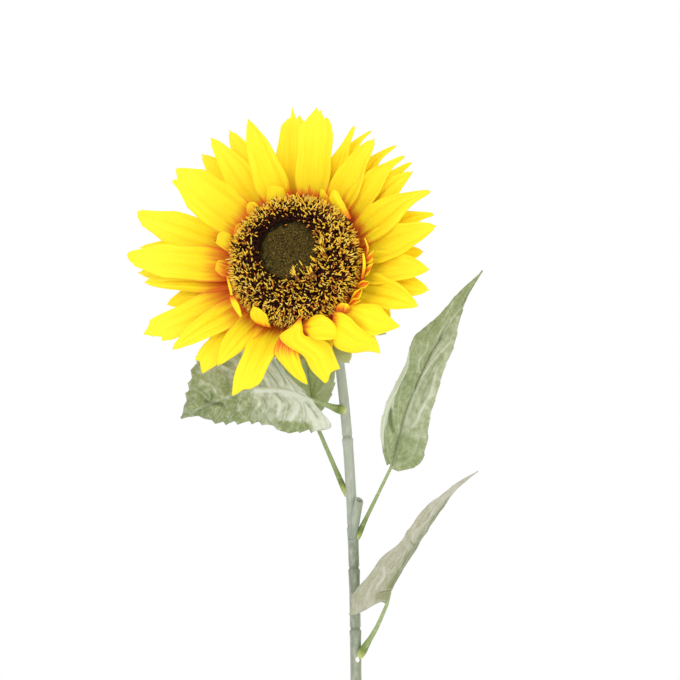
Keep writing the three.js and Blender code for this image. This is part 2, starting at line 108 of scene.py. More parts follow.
def ripple(x, y, seed, octaves=3):
    """Smooth seeded unevenness from -1 to 1 over two coordinates."""
    rng = random.Random(seed)
    total, weight = 0.0, 0.0
    for k in range(octaves):
        f = 1.9**k
        a, b, c, d = (rng.uniform(0, 2 * math.pi) for _ in range(4))
        s = math.sin(a) * 0.8
        part = np.sin(f * x + s * f * y + b) * np.sin(f * y * 1.13 - s * f * x + c + d)
        total = total + part / f**0.7
        weight += 1 / f**0.7
    return total / weight


# ---- Material nodes ----


def srgb(r, g, b):
    """A linear colour from 0 to 255 display values."""
    linear = [c / 255 / 12.92 if c <= 10 else ((c / 255 + 0.055) / 1.055) ** 2.4 for c in (r, g, b)]
    return (*linear, 1.0)


class Look:
    """A procedural material under construction."""

    def __init__(self, name, roughness, **sockets):
        self.material = bpy.data.materials.new(name)
        self.material.use_nodes = True
        self.tree = self.material.node_tree
        self.shader = self.tree.nodes["Principled BSDF"]
        self.shader.inputs["Roughness"].default_value = roughness
        for key, value in sockets.items():
            self.shader.inputs[key.replace("_", " ")].default_value = value

    def feed(self, socket, value):
        if isinstance(value, bpy.types.NodeSocket):
            self.tree.links.new(value, socket)
        elif value is not None:
            socket.default_value = value

    def node(self, kind, *values, **settings):
        made = self.tree.nodes.new("ShaderNode" + kind)
        for key, value in settings.items():
            setattr(made, key, value)
        for socket, value in zip(made.inputs, values):
            self.feed(socket, value)
        return made

    def math(self, operation, a, b, c=None):
        return self.node("Math", a, b, c, operation=operation).outputs[0]

    def plus(self, a, b):
        return self.math("ADD", a, b)

    def times(self, a, b):
        return self.math("MULTIPLY", a, b)

    def swing(self, noise, width, middle):
        """Lets a value swing about its middle by a noise that runs from 0 to 1."""
        return self.math("MULTIPLY_ADD", self.math("SUBTRACT", noise, 0.5), width, middle)

    def step(self, value, low, high, top=1.0, bottom=0.0):
        made = self.node("MapRange", value, low, high, bottom, top, interpolation_type="SMOOTHSTEP")
        return made.outputs[0]

    def blend(self, share, a, b):
        made = self.node("Mix", data_type="RGBA")
        self.feed(made.inputs["Factor"], share)
        # A colour mix has its colours in sockets 6 and 7, and its result in output 2.
        self.feed(made.inputs[6], a)
        self.feed(made.inputs[7], b)
        return made.outputs[2]

    def over(self, tone, colour, value, low, high, most=1.0):
        """Lays a colour over a tone, more and more as the value goes from low to high."""
        return self.blend(self.step(value, low, high, most), tone, srgb(*colour))

    def ramp(self, share, *stops):
        """A colour ramp through stops of (place, red, green, blue)."""
        made = self.node("ValToRGB", share)
        elements = made.color_ramp.elements
        while len(elements) < len(stops):
            elements.new(0.5)
        for element, (place, *colour) in zip(elements, stops):
            element.position, element.color = place, srgb(*colour)
        return made.outputs[0]

    def noise(self, vector, scale, detail, rough=0.55):
        made = self.node("TexNoise", vector)
        for key, value in (("Scale", scale), ("Detail", detail), ("Roughness", rough)):
            made.inputs[key].default_value = value
        return made.outputs["Fac"]

    def place(self):
        return self.node("TexCoord").outputs["Object"]

    def stretch(self, vector, z):
        """Coordinates whose patterns are drawn out upwards where z is below 1."""
        return self.node("VectorMath", vector, (1, 1, z), operation="MULTIPLY").outputs[0]

    def uv(self):
        parts = self.node("SeparateXYZ", self.node("UVMap", uv_map="Shape").outputs[0])
        return parts.outputs[0], parts.outputs[1]

    def attribute(self, name):
        return self.node("Attribute", attribute_name=name).outputs["Fac"]

    def joined(self, x, y, z=0.0):
        return self.node("CombineXYZ", x, y, z).outputs[0]

    def bump(self, height, distance_mm, strength, below=None):
        made = self.node("Bump")
        made.inputs["Strength"].default_value = strength
        made.inputs["Distance"].default_value = distance_mm * MM
        self.feed(made.inputs["Height"], height)
        self.feed(made.inputs["Normal"], below)
        return made.outputs[0]

    def finish(self, colour, normal, roughness=None):
        self.feed(self.shader.inputs["Base Color"], colour)
        self.feed(self.shader.inputs["Roughness"], roughness)
        self.feed(self.shader.inputs["Normal"], normal)
        return self.material


# ---- Mesh helpers ----


def grid(bm, points, uvs, tags=None):
    """Lays a grid of faces through points[i][j], with the UV map and vertex values that go with
    them. Returns its vertices as rows."""
    rows, columns = points.shape[0] - 1, points.shape[1] - 1
    shape = bm.loops.layers.uv.get("Shape") or bm.loops.layers.uv.new("Shape")
    made = bmesh.ops.create_grid(bm, x_segments=rows, y_segments=columns, size=1)["verts"]
    spot = {}
    table = [[None] * (columns + 1) for _ in range(rows + 1)]
    for vert in made:
        i = round((vert.co.x + 1) / 2 * rows)
        j = round((vert.co.y + 1) / 2 * columns)
        spot[vert] = (i, j)
        table[i][j] = vert
        vert.co = Vector(points[i, j]) * MM
    for name, values in (tags or {}).items():
        layer = bm.verts.layers.float[name]
        values = np.broadcast_to(values, points.shape[:2])
        for vert, (i, j) in spot.items():
            vert[layer] = float(values[i, j])
    for face in {face for vert in made for face in vert.link_faces}:
        for loop in face.loops:
            loop[shape].uv = uvs[spot[loop.vert]]
    return table


def mesh_with(*names):
    """A new mesh whose vertices hold the named values."""
    bm = bmesh.new()
    for name in names:
        bm.verts.layers.float.new(name)
    return bm


def seal(bm, table, gap=1e-6):
    """Joins the vertices of a table that lie on each other, and turns all faces out."""
    bmesh.ops.remove_doubles(bm, verts=[vert for row in table for vert in row], dist=gap)
    bmesh.ops.recalc_face_normals(bm, faces=bm.faces)


def seal_tube(bm, table):
    """Caps the two ends of a tube and joins its seam."""
    for row in (table[0], table[-1]):
        bm.faces.new(row[:-1])
    seal(bm, [(row[0], row[-1]) for row in table], 1e-7)


def shown(name, mesh):
    """An object that shows a mesh, smoothly shaded."""
    mesh.shade_smooth()
    made = bpy.data.objects.new(name, mesh)
    bpy.context.collection.objects.link(made)
    return made


def piece(name, bm, materials, replaced, thickness=None):
    """One piece of the plant. With a thickness it is cloth, and a second material is its back."""
    mesh = bpy.data.meshes.new(name)
    bm.to_mesh(mesh)
    bm.free()
    for material in materials:
        mesh.materials.append(material)
    made = shown(name, mesh)
    if thickness:
        solid = made.modifiers.new("Thickness", "SOLIDIFY")
        solid.thickness = thickness * MM
        solid.offset = 0.0
        solid.material_offset = len(materials) - 1
    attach(made, "root")
    if replaced:
        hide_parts(*replaced)


def tube(bm, centres, radii, sides, crossing, tags, lumps):
    """A closed tube through the centres. crossing is a direction that it never runs in, and
    lumps[i][j] scales its radius."""
    forward = unit(np.gradient(centres, axis=0))
    across = unit(crossing - (forward @ crossing)[:, None] * forward)
    up = np.cross(across, forward)
    turn = turns(sides)
    radii = radii[:, None] * lumps
    points = (
        centres[:, None]
        + across[:, None] * (np.sin(turn) * radii)[..., None]
        + up[:, None] * (np.cos(turn) * radii)[..., None]
    )
    uvs = paired(run_along(centres)[:, None] / 100, turn[None] / (2 * math.pi))
    seal_tube(bm, grid(bm, points, uvs, tags))


def lathe(bm, profile, segments, lumps, middle=(0.0, 0.0)):
    """Turns a profile of [radius, height] about a line along the bloom's axis. Its UV map is
    its plan, 40 mm wide."""
    turn = turns(segments)
    radius, height = (profile[:, k : k + 1] * np.ones_like(turn) for k in (0, 1))
    radius, height = lumps(radius, height, turn[None])
    plan = np.stack([radius * np.cos(turn), radius * np.sin(turn)], -1)
    local = np.concatenate([plan + middle, height[..., None]], -1)
    seal(bm, grid(bm, in_bloom(local), 0.5 + plan / 40))


# ---- The bloom's frame ----

# The bloom's centre, how far its axis leans off straight ahead, and which way, seen from in front.
BLOOM_CENTRE = np.array([-32.9, -36.0, 516.4])
TILT, TURN = math.radians(20), math.radians(135)
AXIS = np.array([math.cos(TURN) * math.sin(TILT), -math.cos(TILT), math.sin(TURN) * math.sin(TILT)])
UP = unit(np.array([0, 0, 1.0]) - AXIS * AXIS[2])
RIGHT = np.cross(UP, AXIS)


def along_bloom(local):
    """A direction in the bloom's frame, as one in the plant's."""
    return local @ np.array([RIGHT, UP, AXIS])


def in_bloom(local):
    """A point in the bloom's frame, as one in the plant's."""
    return BLOOM_CENTRE + along_bloom(local)


# ---- Stem and stalks ----

# The upright part of the stem ends NECK_LEAN to the left at NECK_HEIGHT, and its nod ends in the
# calyx cup, at CUP_BACK along the bloom's axis. Its tones are spread over TONED_HEIGHT_M, in metres.
NECK_HEIGHT, NECK_LEAN = 468.0, 11.2
CUP_BACK = -20.0
FOOT_RADIUS, NECK_RADIUS = 3.9, 2.95
TONED_HEIGHT_M = 0.55
JOINTS = [416.6, 363.9, 339.4, 303.7, 260.7, 217.7, 174.7, 131.7, 88.7, 45.7]


def stem_line():
    """Centres up the stem and over its nod, about 1.3 mm apart, with how far along they lie."""
    z = np.linspace(0, NECK_HEIGHT, 340)
    straight = np.stack([-NECK_LEAN * (z / NECK_HEIGHT) ** 6, 0 * z, z], -1)
    neck = straight[-1]
    rise = unit(np.array([-NECK_LEAN * 6 / NECK_HEIGHT, 0, 1.0]))
    back = BLOOM_CENTRE + AXIS * (CUP_BACK - 0.3)
    t = np.linspace(0, 1, 46)[1:, None]
    a, b = neck + rise * 20, back - AXIS * 20
    nod = neck * (1 - t) ** 3 + a * 3 * t * (1 - t) ** 2 + b * 3 * t * t * (1 - t) + back * t**3
    line = np.vstack([straight, nod])
    return line, run_along(line)


def stem_look():
    """A sage sleeve, darker below its middle, with painted shade in dark green down its right side,
    dark at its joints, and with painted shade deep inside the cut shoot's hollow end.
    """
    look = Look("Stem sleeve", roughness=0.5, Specular_IOR_Level=0.35, Sheen_Weight=0.1)
    where = look.place()
    side, _, height = look.node("SeparateXYZ", where).outputs
    tone = look.ramp(
        look.times(height, 1 / TONED_HEIGHT_M),
        (0.0, 156, 160, 142),
        (0.46, 146, 151, 134),
        (0.54, 128, 135, 116),
        (0.64, 120, 128, 110),
        (0.68, 156, 162, 146),
        (0.86, 164, 170, 156),
        (1.0, 146, 156, 120),
    )
    mottle = look.noise(look.stretch(where, 0.35), 420, 4, 0.65)
    tone = look.over(tone, (178, 182, 166), mottle, 0.42, 0.72, 0.7)
    streak = look.noise(look.stretch(where, 0.06), 900, 3)
    tone = look.over(tone, (116, 124, 96), streak, 0.52, 0.75, 0.45)
    # Painted shade: the stem's right side, x above 0, turns dark green, away from the key light.
    edge = look.plus(side, look.times(mottle, 0.003))
    tone = look.over(tone, (110, 124, 84), edge, 0.0, 0.003, 0.4)
    # The joint tone marks the real joints, and is also painted shade inside the cut shoot's hollow end.
    tone = look.blend(look.times(look.attribute("joint"), 0.75), tone, srgb(96, 102, 80))
    relief = look.bump(streak, 0.25, 0.5, look.bump(look.noise(where, 1600, 3), 0.08, 0.6))
    return look.finish(tone, relief, look.step(mottle, 0.3, 0.7, 0.62, 0.42))


def add_side_shoot(bm):
    """The cut side shoot: a hollow sleeve in front of the stem, cut on a slant."""
    root, tip = np.array([-3.0, -1.8, 357.0]), np.array([1.4, -4.8, 379.8])
    way = unit(tip - root)
    end = float(np.linalg.norm(tip - root))
    out = [(0, 2.2), (5, 2.8), (10, 2.85), (16, 2.65), (end - 2, 2.6), (end - 0.4, 2.65), (end, 2.5)]
    inside = [(end, 2.1), (end - 0.5, 1.9), (end - 4, 1.7), (end - 7, 1.0)]
    steps = np.linspace(0, 1, 60)
    run, radius = through(out + inside, steps).T[..., None]
    ring = turns(24)
    side = unit(np.array([0, 1.0, 0]) - way * way[1])
    other = np.cross(way, side)
    spokes = (side * np.sin(ring)[:, None] + other * np.cos(ring)[:, None]) * radius[..., None]
    slant = (spokes @ np.array([-0.25, 0.45, 0])) * smooth(steps, 0.35, 0.55)[:, None]
    points = (root + way * run)[:, None] + spokes + way * slant[..., None]
    uvs = paired(steps[:, None], ring[None] / 6.3)
    # Deep inside the hollow end the joint tone is laid as painted shade.
    seal_tube(bm, grid(bm, points, uvs, {"joint": 0.5 * smooth(steps, 0.8, 1.0)[:, None]}))


def make_stem():
    line, run = stem_line()
    share = np.minimum(line[:, 2] / NECK_HEIGHT, 1)
    straight = run <= NECK_HEIGHT + 0.5
    radius = np.where(straight, mix(FOOT_RADIUS, NECK_RADIUS, share), NECK_RADIUS)
    joint = np.zeros_like(radius)
    sides = 30
    turn = turns(sides)[None]
    along = run[:, None]
    lumps = 1 + 0.018 * ripple(along * 0.11, np.cos(turn) * 2.0, 5)
    lumps = lumps + 0.02 * np.cos(2 * turn + 0.6) + 0.012 * np.cos(5 * turn + along * 0.01)
    # Each joint is a groove over a swelling that thins out downwards.
    for k, height in enumerate(JOINTS):
        gap = run - height
        below = np.clip(-gap / 9, 0, None)
        radius = radius + np.where(gap < 0, 0.42 * np.exp(-(below**1.6) * 3), 0)
        groove = np.exp(-((gap / 0.75) ** 2))
        radius = radius - 0.55 * groove
        lumps = lumps + 0.024 * np.cos(turn + k) * groove[:, None]
        joint = np.maximum(joint, groove)
    radius = radius + 0.25 * (1 - smooth(run, 0, 3))
    bm = mesh_with("joint")
    tube(bm, line, radius, sides, np.array([1.0, 0, 0]), {"joint": joint[:, None]}, lumps)
    add_side_shoot(bm)
    piece("stem", bm, [stem_look()], ["main_stem"])


# Each leaf: its stalk with the radii of the stalk's sleeve and of its end, its midrib, and its near
# and far margins, across it at 1 and -1. Then how deep and long its teeth are, how its base is cut,
# how many veins it has and how they lean, how its cloth swells and its midrib stands out, how much
# shade is painted beside the veins, which also sets how pale its midrib is, whether its combed print
# follows the veins at 0 or the blade at 1, and how its near and far halves fold.
LEAVES = {
    "upper_left": {
        "stalk": [[-6.7, -1.5, 432.1], [-13.5, -3.5, 434.1], [-20.5, -5.5, 436.8], [-25.9, -7, 438.6]],
        "radii": [2.75, 1.15],
        "midrib": [
            [-26.3, -7, 438.8], [-35.1, -9.5, 442.3], [-44.5, -12, 444.4], [-54.4, -13, 444.9],
            [-64.3, -13.5, 444.4], [-73.1, -13, 441.7], [-82.5, -11.5, 437.9], [-90.7, -9, 434.4],
            [-96.5, -6.5, 431.5], [-103.5, -3, 427.7],
        ],
        "near": [
            [-20.5, -6, 420.9], [-25, -7, 420.6], [-31.6, -9, 421], [-42.1, -10, 420.7],
            [-53.8, -11, 424.8], [-65.5, -11, 425.9], [-76.6, -10, 425.3], [-86.6, -8, 426.5],
            [-93.6, -6, 429.7], [-103.5, -3, 427.7],
        ],
        "far": [
            [-30.4, -9, 442.9], [-39.8, -8, 452.3], [-50.3, -7, 464], [-62, -6, 470.4],
            [-73.7, -5, 472.7], [-84.2, -4.5, 471.6], [-92.4, -4, 465.7], [-97.1, -4, 453.4],
            [-100, -4, 439.4], [-103.5, -3, 427.7],
        ],
        "teeth": 2.8, "saws": 7.4, "notch": 0, "lobe": 8, "veins": 10.0, "lean": 0.16, "puff": 1.6,
        "rib": 0.9, "ribbed": 0.5, "run": 0.0, "fold": (-0.8, 0.4),
    },
    "rear_left": {
        "stalk": [[-5.8, 0.5, 382.1], [-11.1, 3, 394.3], [-16.4, 4.5, 406.6], [-21.9, 6, 419.3]],
        "radii": [1.8, 1.2],
        "midrib": [
            [-22.2, 6, 419.8], [-24.3, 9, 428.3], [-26, 12, 437.6], [-27.8, 14.5, 448.2],
            [-29.5, 16, 459.3], [-31, 16.5, 471], [-32.8, 16, 482.7], [-34.5, 14.5, 492.6],
            [-35.7, 12, 502],
        ],
        "near": [
            [-32.8, 3, 420.1], [-42.1, 3.5, 419.5], [-49.1, 5, 424.2], [-52.1, 7, 434.1],
            [-51.5, 8.5, 445.8], [-49.1, 9.5, 459.3], [-45.6, 10, 473.3], [-40.9, 11, 487.9],
            [-35.7, 12, 502],
        ],
        "far": [
            [-23.5, 4, 421], [-22.5, 6.5, 428.5], [-17, 8.5, 437.6], [-13.6, 10, 446.4],
            [-12.9, 10.5, 456.4], [-15.2, 11, 468.1], [-19.9, 11.5, 479.8], [-26.9, 12, 492],
            [-35.7, 12, 502],
        ],
        "teeth": 0.8, "saws": 8.0, "notch": 2, "lobe": 0, "veins": 7.0, "lean": 0.25, "puff": 0.7,
        "rib": -0.6, "ribbed": 0.3, "run": 0.5, "fold": (0.8, 0.8),
    },
    "upper_right": {
        "stalk": [[0, -0.5, 356.3], [4.1, -0.8, 366], [11.4, -0.8, 380.9], [19.7, -1, 397.9]],
        "radii": [1.75, 0.9],
        "midrib": [
            [19.9, -1, 398.4], [22.8, -2.5, 408.4], [26, -4, 419.5], [29.8, -5.5, 432.4],
            [35.1, -6.5, 445.2], [41.5, -7, 459.3], [48.6, -6.5, 472.4], [57.3, -5, 487.4],
            [64.9, -2.5, 500.2], [74.3, 1, 514.9],
        ],
        "near": [
            [17.6, -3, 400.2], [13.5, -7, 413.1], [11.1, -10.5, 423.6], [14, -13.5, 437.6],
            [19.6, -15, 449.3], [26.3, -15, 461.6], [33, -14, 475.4], [47.4, -10, 487.6],
            [60.3, -5, 502], [74.3, 1, 514.9],
        ],
        "far": [
            [24.5, -4, 396.5], [36.6, -8, 401], [41, -12, 413.6], [42.7, -14.5, 427.7],
            [46.5, -15.5, 441.7], [50.6, -15, 455.2], [56.7, -12.5, 469.8], [60.8, -9, 487.4],
            [65.2, -4, 499.6], [74.3, 1, 514.9],
        ],
        "teeth": 0.5, "saws": 11.0, "notch": 2, "lobe": 0, "veins": 5.0, "lean": 0.42, "puff": 0.5,
        "rib": -0.2, "ribbed": 0.0, "run": 0.6, "fold": (1.6, 2.2),
    },
    "lower_right": {
        "stalk": [[1.2, -1.5, 287], [5.9, -3.5, 294.9], [11.7, -6, 304.8], [17.4, -8, 317.7]],
        "radii": [2.5, 1.05],
        "midrib": [
            [17.6, -8, 318.3], [20.5, -9.5, 327.1], [24.3, -10.5, 335.8], [29.2, -11.5, 345.2],
            [35.1, -12, 354.6], [41, -11.5, 363.3], [47.4, -10.5, 372.7], [54.1, -9, 381.8],
            [61.1, -7, 389.8], [71.4, -4, 396.7],
        ],
        "near": [
            [-4.7, -14, 312.7], [-1.8, -17, 325.3], [5.9, -19.5, 334.7], [15.2, -21, 347],
            [25.7, -21.5, 356], [31.3, -20, 363.9], [39.8, -17.5, 374.7], [49.7, -13, 383.2],
            [60, -8, 390.6], [71.4, -4, 396.7],
        ],
        "far": [
            [12.3, -2, 321.2], [18.1, 1, 327.1], [24.9, 3, 335.3], [30.4, 3.5, 344.6],
            [36.3, 3, 354], [41.8, 2, 362.8], [47.7, 0.5, 372.1], [54.1, -2, 381.5],
            [61.6, -4, 388.8], [71.4, -4, 396.7],
        ],
        "teeth": 0.4, "saws": 13.0, "notch": 4.2, "lobe": 3, "veins": 4.0, "lean": 0.4, "puff": 0.5,
        "rib": 0.2, "ribbed": 0.3, "run": 1.0, "fold": (1.0, 0.0),
    },
}


# The creases of each leaf: how far each stands out in mm, its half width, how pale it is, or below 0
# how much shade is painted into its sunken line, and then its way, as shares along and across the leaf.
CREASES = {
    "upper_left": [
        [0.5, 0.9, 0.7, [[0.43, 0.05], [0.3, 0.02], [0.16, 0.02], [0.1, 0.06]]],
        [0.5, 0.8, 0.6, [[0.3, 0.05], [0.28, 0.25], [0.3, 0.45], [0.35, 0.7]]],
        [0.6, 0.9, 0.7, [[0.235, 0.06], [0.165, 0.16], [0.17, 0.4], [0.25, 0.65], [0.28, 0.82]]],
        [0.6, 0.9, 0.7, [[0.12, 0.06], [0.095, 0.18], [0.11, 0.4], [0.1, 0.65], [0.1, 0.86]]],
        [0.5, 0.8, 0.7, [[0.03, -0.1], [0, 0.18], [0.01, 0.47], [0.03, 0.8]]],
        [0.7, 0.9, 0.3, [[0.43, 0.14], [0.405, 0.3], [0.44, 0.53]]],
        [0.7, 0.9, 0.25, [[0.545, 0.3], [0.55, 0.47], [0.575, 0.66]]],
        [0.7, 0.9, 0.2, [[0.64, 0.33], [0.635, 0.67], [0.655, 0.96]]],
        [0.6, 0.7, 0.6, [[0.275, -0.52], [0.23, -0.34], [0.195, -0.04]]],
        [0.5, 0.7, 0.7, [[0.31, -0.33], [0.3, -0.17], [0.29, -0.02]]],
        [0.5, 0.7, 0.8, [[0.215, -0.7], [0.165, -0.6], [0.145, -0.18], [0.13, 0.02]]],
        [0.6, 0.7, 0.3, [[0.56, -0.56], [0.47, -0.36]]],
        [0.6, 0.9, 0.3, [[0.565, 0.07], [0.64, -0.09], [0.655, -0.3], [0.75, -0.56]]],
        [-0.4, 1.0, -0.45, [[0.31, 0.1], [0.27, 0.14], [0.25, 0.35]]],
        [-0.4, 1.0, -0.45, [[0.24, 0.1], [0.22, 0.35], [0.26, 0.55]]],
        [-0.5, 1.2, -0.5, [[0.09, 0.1], [0.07, 0.36], [0.07, 0.7]]],
        [-0.4, 1.0, -0.4, [[0.18, 0.1], [0.13, 0.3], [0.16, 0.6]]],
        [-0.4, 1.0, -0.5, [[0.375, 0.11], [0.37, 0.36], [0.4, 0.6]]],
        [-0.4, 0.8, -0.5, [[0.49, 0.28], [0.475, 0.5], [0.52, 0.75]]],
        [-0.8, 1.6, -0.9, [[0.76, -0.2], [0.72, -0.05], [0.65, 0.17], [0.63, 0.5]]],
        [-0.4, 1.0, -0.8, [[0.72, -0.05], [0.68, -0.12], [0.69, -0.2]]],
        [-0.5, 0.9, -0.6, [[0.25, -0.9], [0.2, -0.6], [0.17, -0.06]]],
        [-0.5, 0.9, -0.6, [[0.32, -0.7], [0.26, -0.34], [0.22, -0.04]]],
        [-0.4, 0.8, -0.5, [[0.38, -0.7], [0.34, -0.34], [0.3, -0.04]]],
    ],
    "rear_left": [
        [-0.4, 0.6, -0.7, [[0.2, 0.1], [0.28, 0.02], [0.36, -0.2], [0.42, -0.3]]],
        [0.3, 0.5, 0.5, [[0.33, -0.44], [0.38, -0.7], [0.44, -0.85]]],
        [0.3, 0.5, 0.5, [[0.285, -0.15], [0.335, -0.6]]],
        [0.3, 0.5, 0.5, [[0.43, 0.27], [0.38, 0.06]]],
    ],
    "upper_right": [
        [0.7, 0.5, 1.0, [[0.115, -0.03], [0.26, 0.01], [0.45, 0.02],
         [0.655, 0.01], [0.75, -0.26], [0.83, -0.9]]],
        [-0.3, 0.6, -0.5, [[0.13, 0.06], [0.26, 0.1], [0.45, 0.11], [0.65, 0.1], [0.75, -0.12]]],
        [0.5, 1.6, 0.5, [[0.2, -0.12], [0.45, -0.12], [0.6, -0.15], [0.7, -0.35]]],
        [0.5, 0.6, 0.9, [[0.25, 0.33], [0.34, 0.62], [0.415, 0.79], [0.475, 0.84], [0.54, 0.9], [0.63, 1]]],
        [-0.7, 1.8, -0.8, [[0.34, 0.62], [0.265, 0.52], [0.19, 0.2]]],
        [0.3, 0.5, 0.5, [[0.7, 0.64], [0.63, 0.38], [0.565, 0.43], [0.495, 0.1]]],
        [0.3, 0.5, 0.4, [[0.755, 0.34], [0.7, 0.26], [0.655, 0.08]]],
        [0.6, 0.8, 0.45, [[0.22, -0.17], [0.3, -0.55], [0.38, -0.67],
         [0.44, -0.77], [0.52, -0.74], [0.58, -0.72]]],
        [0.3, 0.5, 0.5, [[0.46, -0.04], [0.55, -0.28], [0.64, -0.56], [0.7, -0.9]]],
        [-0.5, 1.3, -0.5, [[0.37, -0.53], [0.45, -0.49], [0.54, -0.65]]],
        [-0.3, 1.5, -0.3, [[0.07, -0.3], [0.14, -0.38], [0.19, -0.77], [0.235, -0.96]]],
        [0.3, 0.4, 0.4, [[0.74, 0.54], [0.86, 0.89]]],
    ],
    "lower_right": [
        [0.5, 0.5, 0.9, [[0.31, 0.88], [0.235, 0.53], [0.165, 0.5], [0.115, 0.43]]],
        [-0.4, 0.5, -0.9, [[0.09, 0.38], [0.1, 0.15], [0.09, -0.3]]],
        [0.4, 0.6, 0.6, [[0.655, 0.02], [0.575, 0.14], [0.48, 0.09], [0.43, 0.22]]],
        [-0.4, 0.6, -0.6, [[0.595, 0.58], [0.635, 0.47], [0.66, 0.72]]],
        [-0.4, 0.6, -0.7, [[0.485, 0.77], [0.44, 0.3], [0.47, 0.04]]],
        [0.3, 0.5, 0.6, [[0.56, 0.67], [0.49, 0.57], [0.46, 0.53]]],
        [-0.2, 0.5, -0.5, [[0.405, 0.26], [0.31, 0.39], [0.245, 0.43]]],
        [0.2, 0.5, 0.5, [[0.37, 0.08], [0.295, 0.19], [0.21, 0.22]]],
        [-0.2, 0.5, -0.5, [[0.295, 0.12], [0.25, 0.18], [0.235, 0.5]]],
        [-0.2, 0.5, -0.5, [[0.24, 0.68], [0.13, 0.7], [0.03, 0.8]]],
        [0.3, 0.5, 0.5, [[0.68, 0.37], [0.595, 0.48], [0.5, 0.74]]],
        [-0.2, 0.5, -0.4, [[0.34, 0.75], [0.2, 0.8], [0.05, 0.9]]],
    ],
}


# How thick the sleeve at a stalk's foot is, as a share of its widest, by share of the stalk.
SLEEVE = [(0, 0.6), (0.05, 0.82), (0.12, 1), (0.2, 0.97), (0.3, 0.72), (0.42, 0.4), (0.7, 0.12), (1, 0)]


def stalk_look():
    """Moulded stalk: a yellow foot, a dark olive collar, and sage to the leaf."""
    look = Look("Leaf stalk sleeve", roughness=0.55, Specular_IOR_Level=0.35)
    along = look.attribute("along")
    where = look.place()
    mottle = look.noise(where, 420, 4, 0.65)
    tone = look.ramp(
        look.swing(mottle, 0.16, along),
        (0.0, 206, 208, 186),
        (0.04, 180, 186, 116),
        (0.11, 152, 162, 82),
        (0.2, 104, 120, 58),
        (0.3, 112, 130, 66),
        (0.45, 140, 154, 100),
        (1.0, 150, 164, 114),
    )
    tone = look.over(tone, (186, 196, 146), mottle, 0.5, 0.75, 0.5)
    streak = look.noise(look.stretch(where, 0.3), 1100, 2)
    tone = look.over(tone, (84, 100, 46), streak, 0.5, 0.75, 0.5)
    return look.finish(tone, look.bump(streak, 0.25, 0.6))


def make_stalk(name, leaf, look):
    t = np.linspace(0, 1, 64)
    held = through(leaf["stalk"], t)
    # Past its own end the stalk thins out behind the midrib of its leaf.
    fade = np.linspace(0, 1, 13)
    under = through(leaf["midrib"], np.linspace(0, 0.09, 14)[1:])
    behind = np.array([0, 1.1, 0]) * smooth(fade, 0, 0.5)[:, None]
    line = np.vstack([held, under + behind])
    sleeve, slim = leaf["radii"]
    share = np.interp(t, *zip(*SLEEVE))
    radius = np.concatenate([mix(slim, sleeve, share), np.linspace(slim, 0.45 * slim, len(fade))])
    along = np.linspace(0, 1.2, len(line))[:, None]
    sides = 16
    turn = turns(sides)[None]
    lumps = 1 + 0.06 * np.cos(3 * turn + 1) + 0.06 * ripple(along * 14, np.cos(turn), 3)
    bm = mesh_with("along")
    tube(bm, line, radius, sides, np.array([0, 1.0, 0]), {"along": along}, lumps)
    piece("stalk_" + name, bm, [look], ["leaf_stalk_" + name])


def make_glue_bead():
    """A drop of glue at the foot of the lower right stalk."""
    bm = bmesh.new()
    bmesh.ops.create_icosphere(bm, subdivisions=3, radius=1.5 * MM)
    for vert in bm.verts:
        squeezed = Vector((vert.co.x * 0.9, vert.co.y, vert.co.z * 1.3))
        vert.co = squeezed + Vector((0.3, -2.6, 285.6)) * MM
    look = Look("Glue bead", roughness=0.35, Specular_IOR_Level=0.5)
    cloud = look.noise(look.place(), 700, 3)
    tone = look.over(srgb(236, 234, 226), (206, 208, 192), cloud, 0.4, 0.65)
    piece("glue_bead", bm, [look.finish(tone, look.bump(cloud, 0.4, 0.8))], [])


# ---- Leaves ----


def leaf_look(name, ground, pale, frost, vein, deep, comb):
    """Printed cloth over moulded veins. The mesh says where it is frosted, deep or veined; its deep
    tone is partly the print and partly painted shade, beside veins, in creases and under the petals.
    """
    look = Look(name, roughness=0.8, Specular_IOR_Level=0.2, Sheen_Weight=0.3, Sheen_Roughness=0.5)
    along, across = look.uv()
    where = look.place()
    frosted, dark = look.attribute("frost"), look.attribute("deep")
    patches = look.noise(where, 90, 4, 0.6)
    speckle = look.noise(where, 420, 5, 0.75)
    cloud = look.noise(where, 260, 2, 0.5)
    rank = look.times(look.attribute("rank"), 5.0)
    combed = look.noise(look.joined(rank, look.times(across, 3.0), look.times(along, 5.0)), 1.6, 3, 0.6)
    tone = look.over(srgb(*ground), pale, patches, 0.36, 0.66)
    tone = look.over(tone, frost, speckle, 0.47, 0.68, 0.32)
    tone = look.over(tone, deep, speckle, 0.47, 0.32, 0.32)
    for colour, noise, width, middle, low, most in (
        (frost, cloud, 0.9, frosted, 0.1, 0.92),
        (deep, speckle, 0.6, dark, 0.15, 0.9),
    ):
        share = look.step(look.swing(noise, width, middle), low, 0.9)
        tone = look.blend(look.times(share, most), tone, srgb(*colour))
    tone = look.over(tone, frost, combed, 0.5, 0.68, comb)
    tone = look.over(tone, deep, combed, 0.46, 0.3, comb)
    tone = look.blend(look.times(look.attribute("vein"), 0.75), tone, srgb(*vein))
    relief = look.bump(speckle, 0.3, 0.7, look.bump(combed, 0.6, 0.7))
    return look.finish(tone, look.bump(look.noise(where, 2200, 2), 0.06, 0.5, relief))


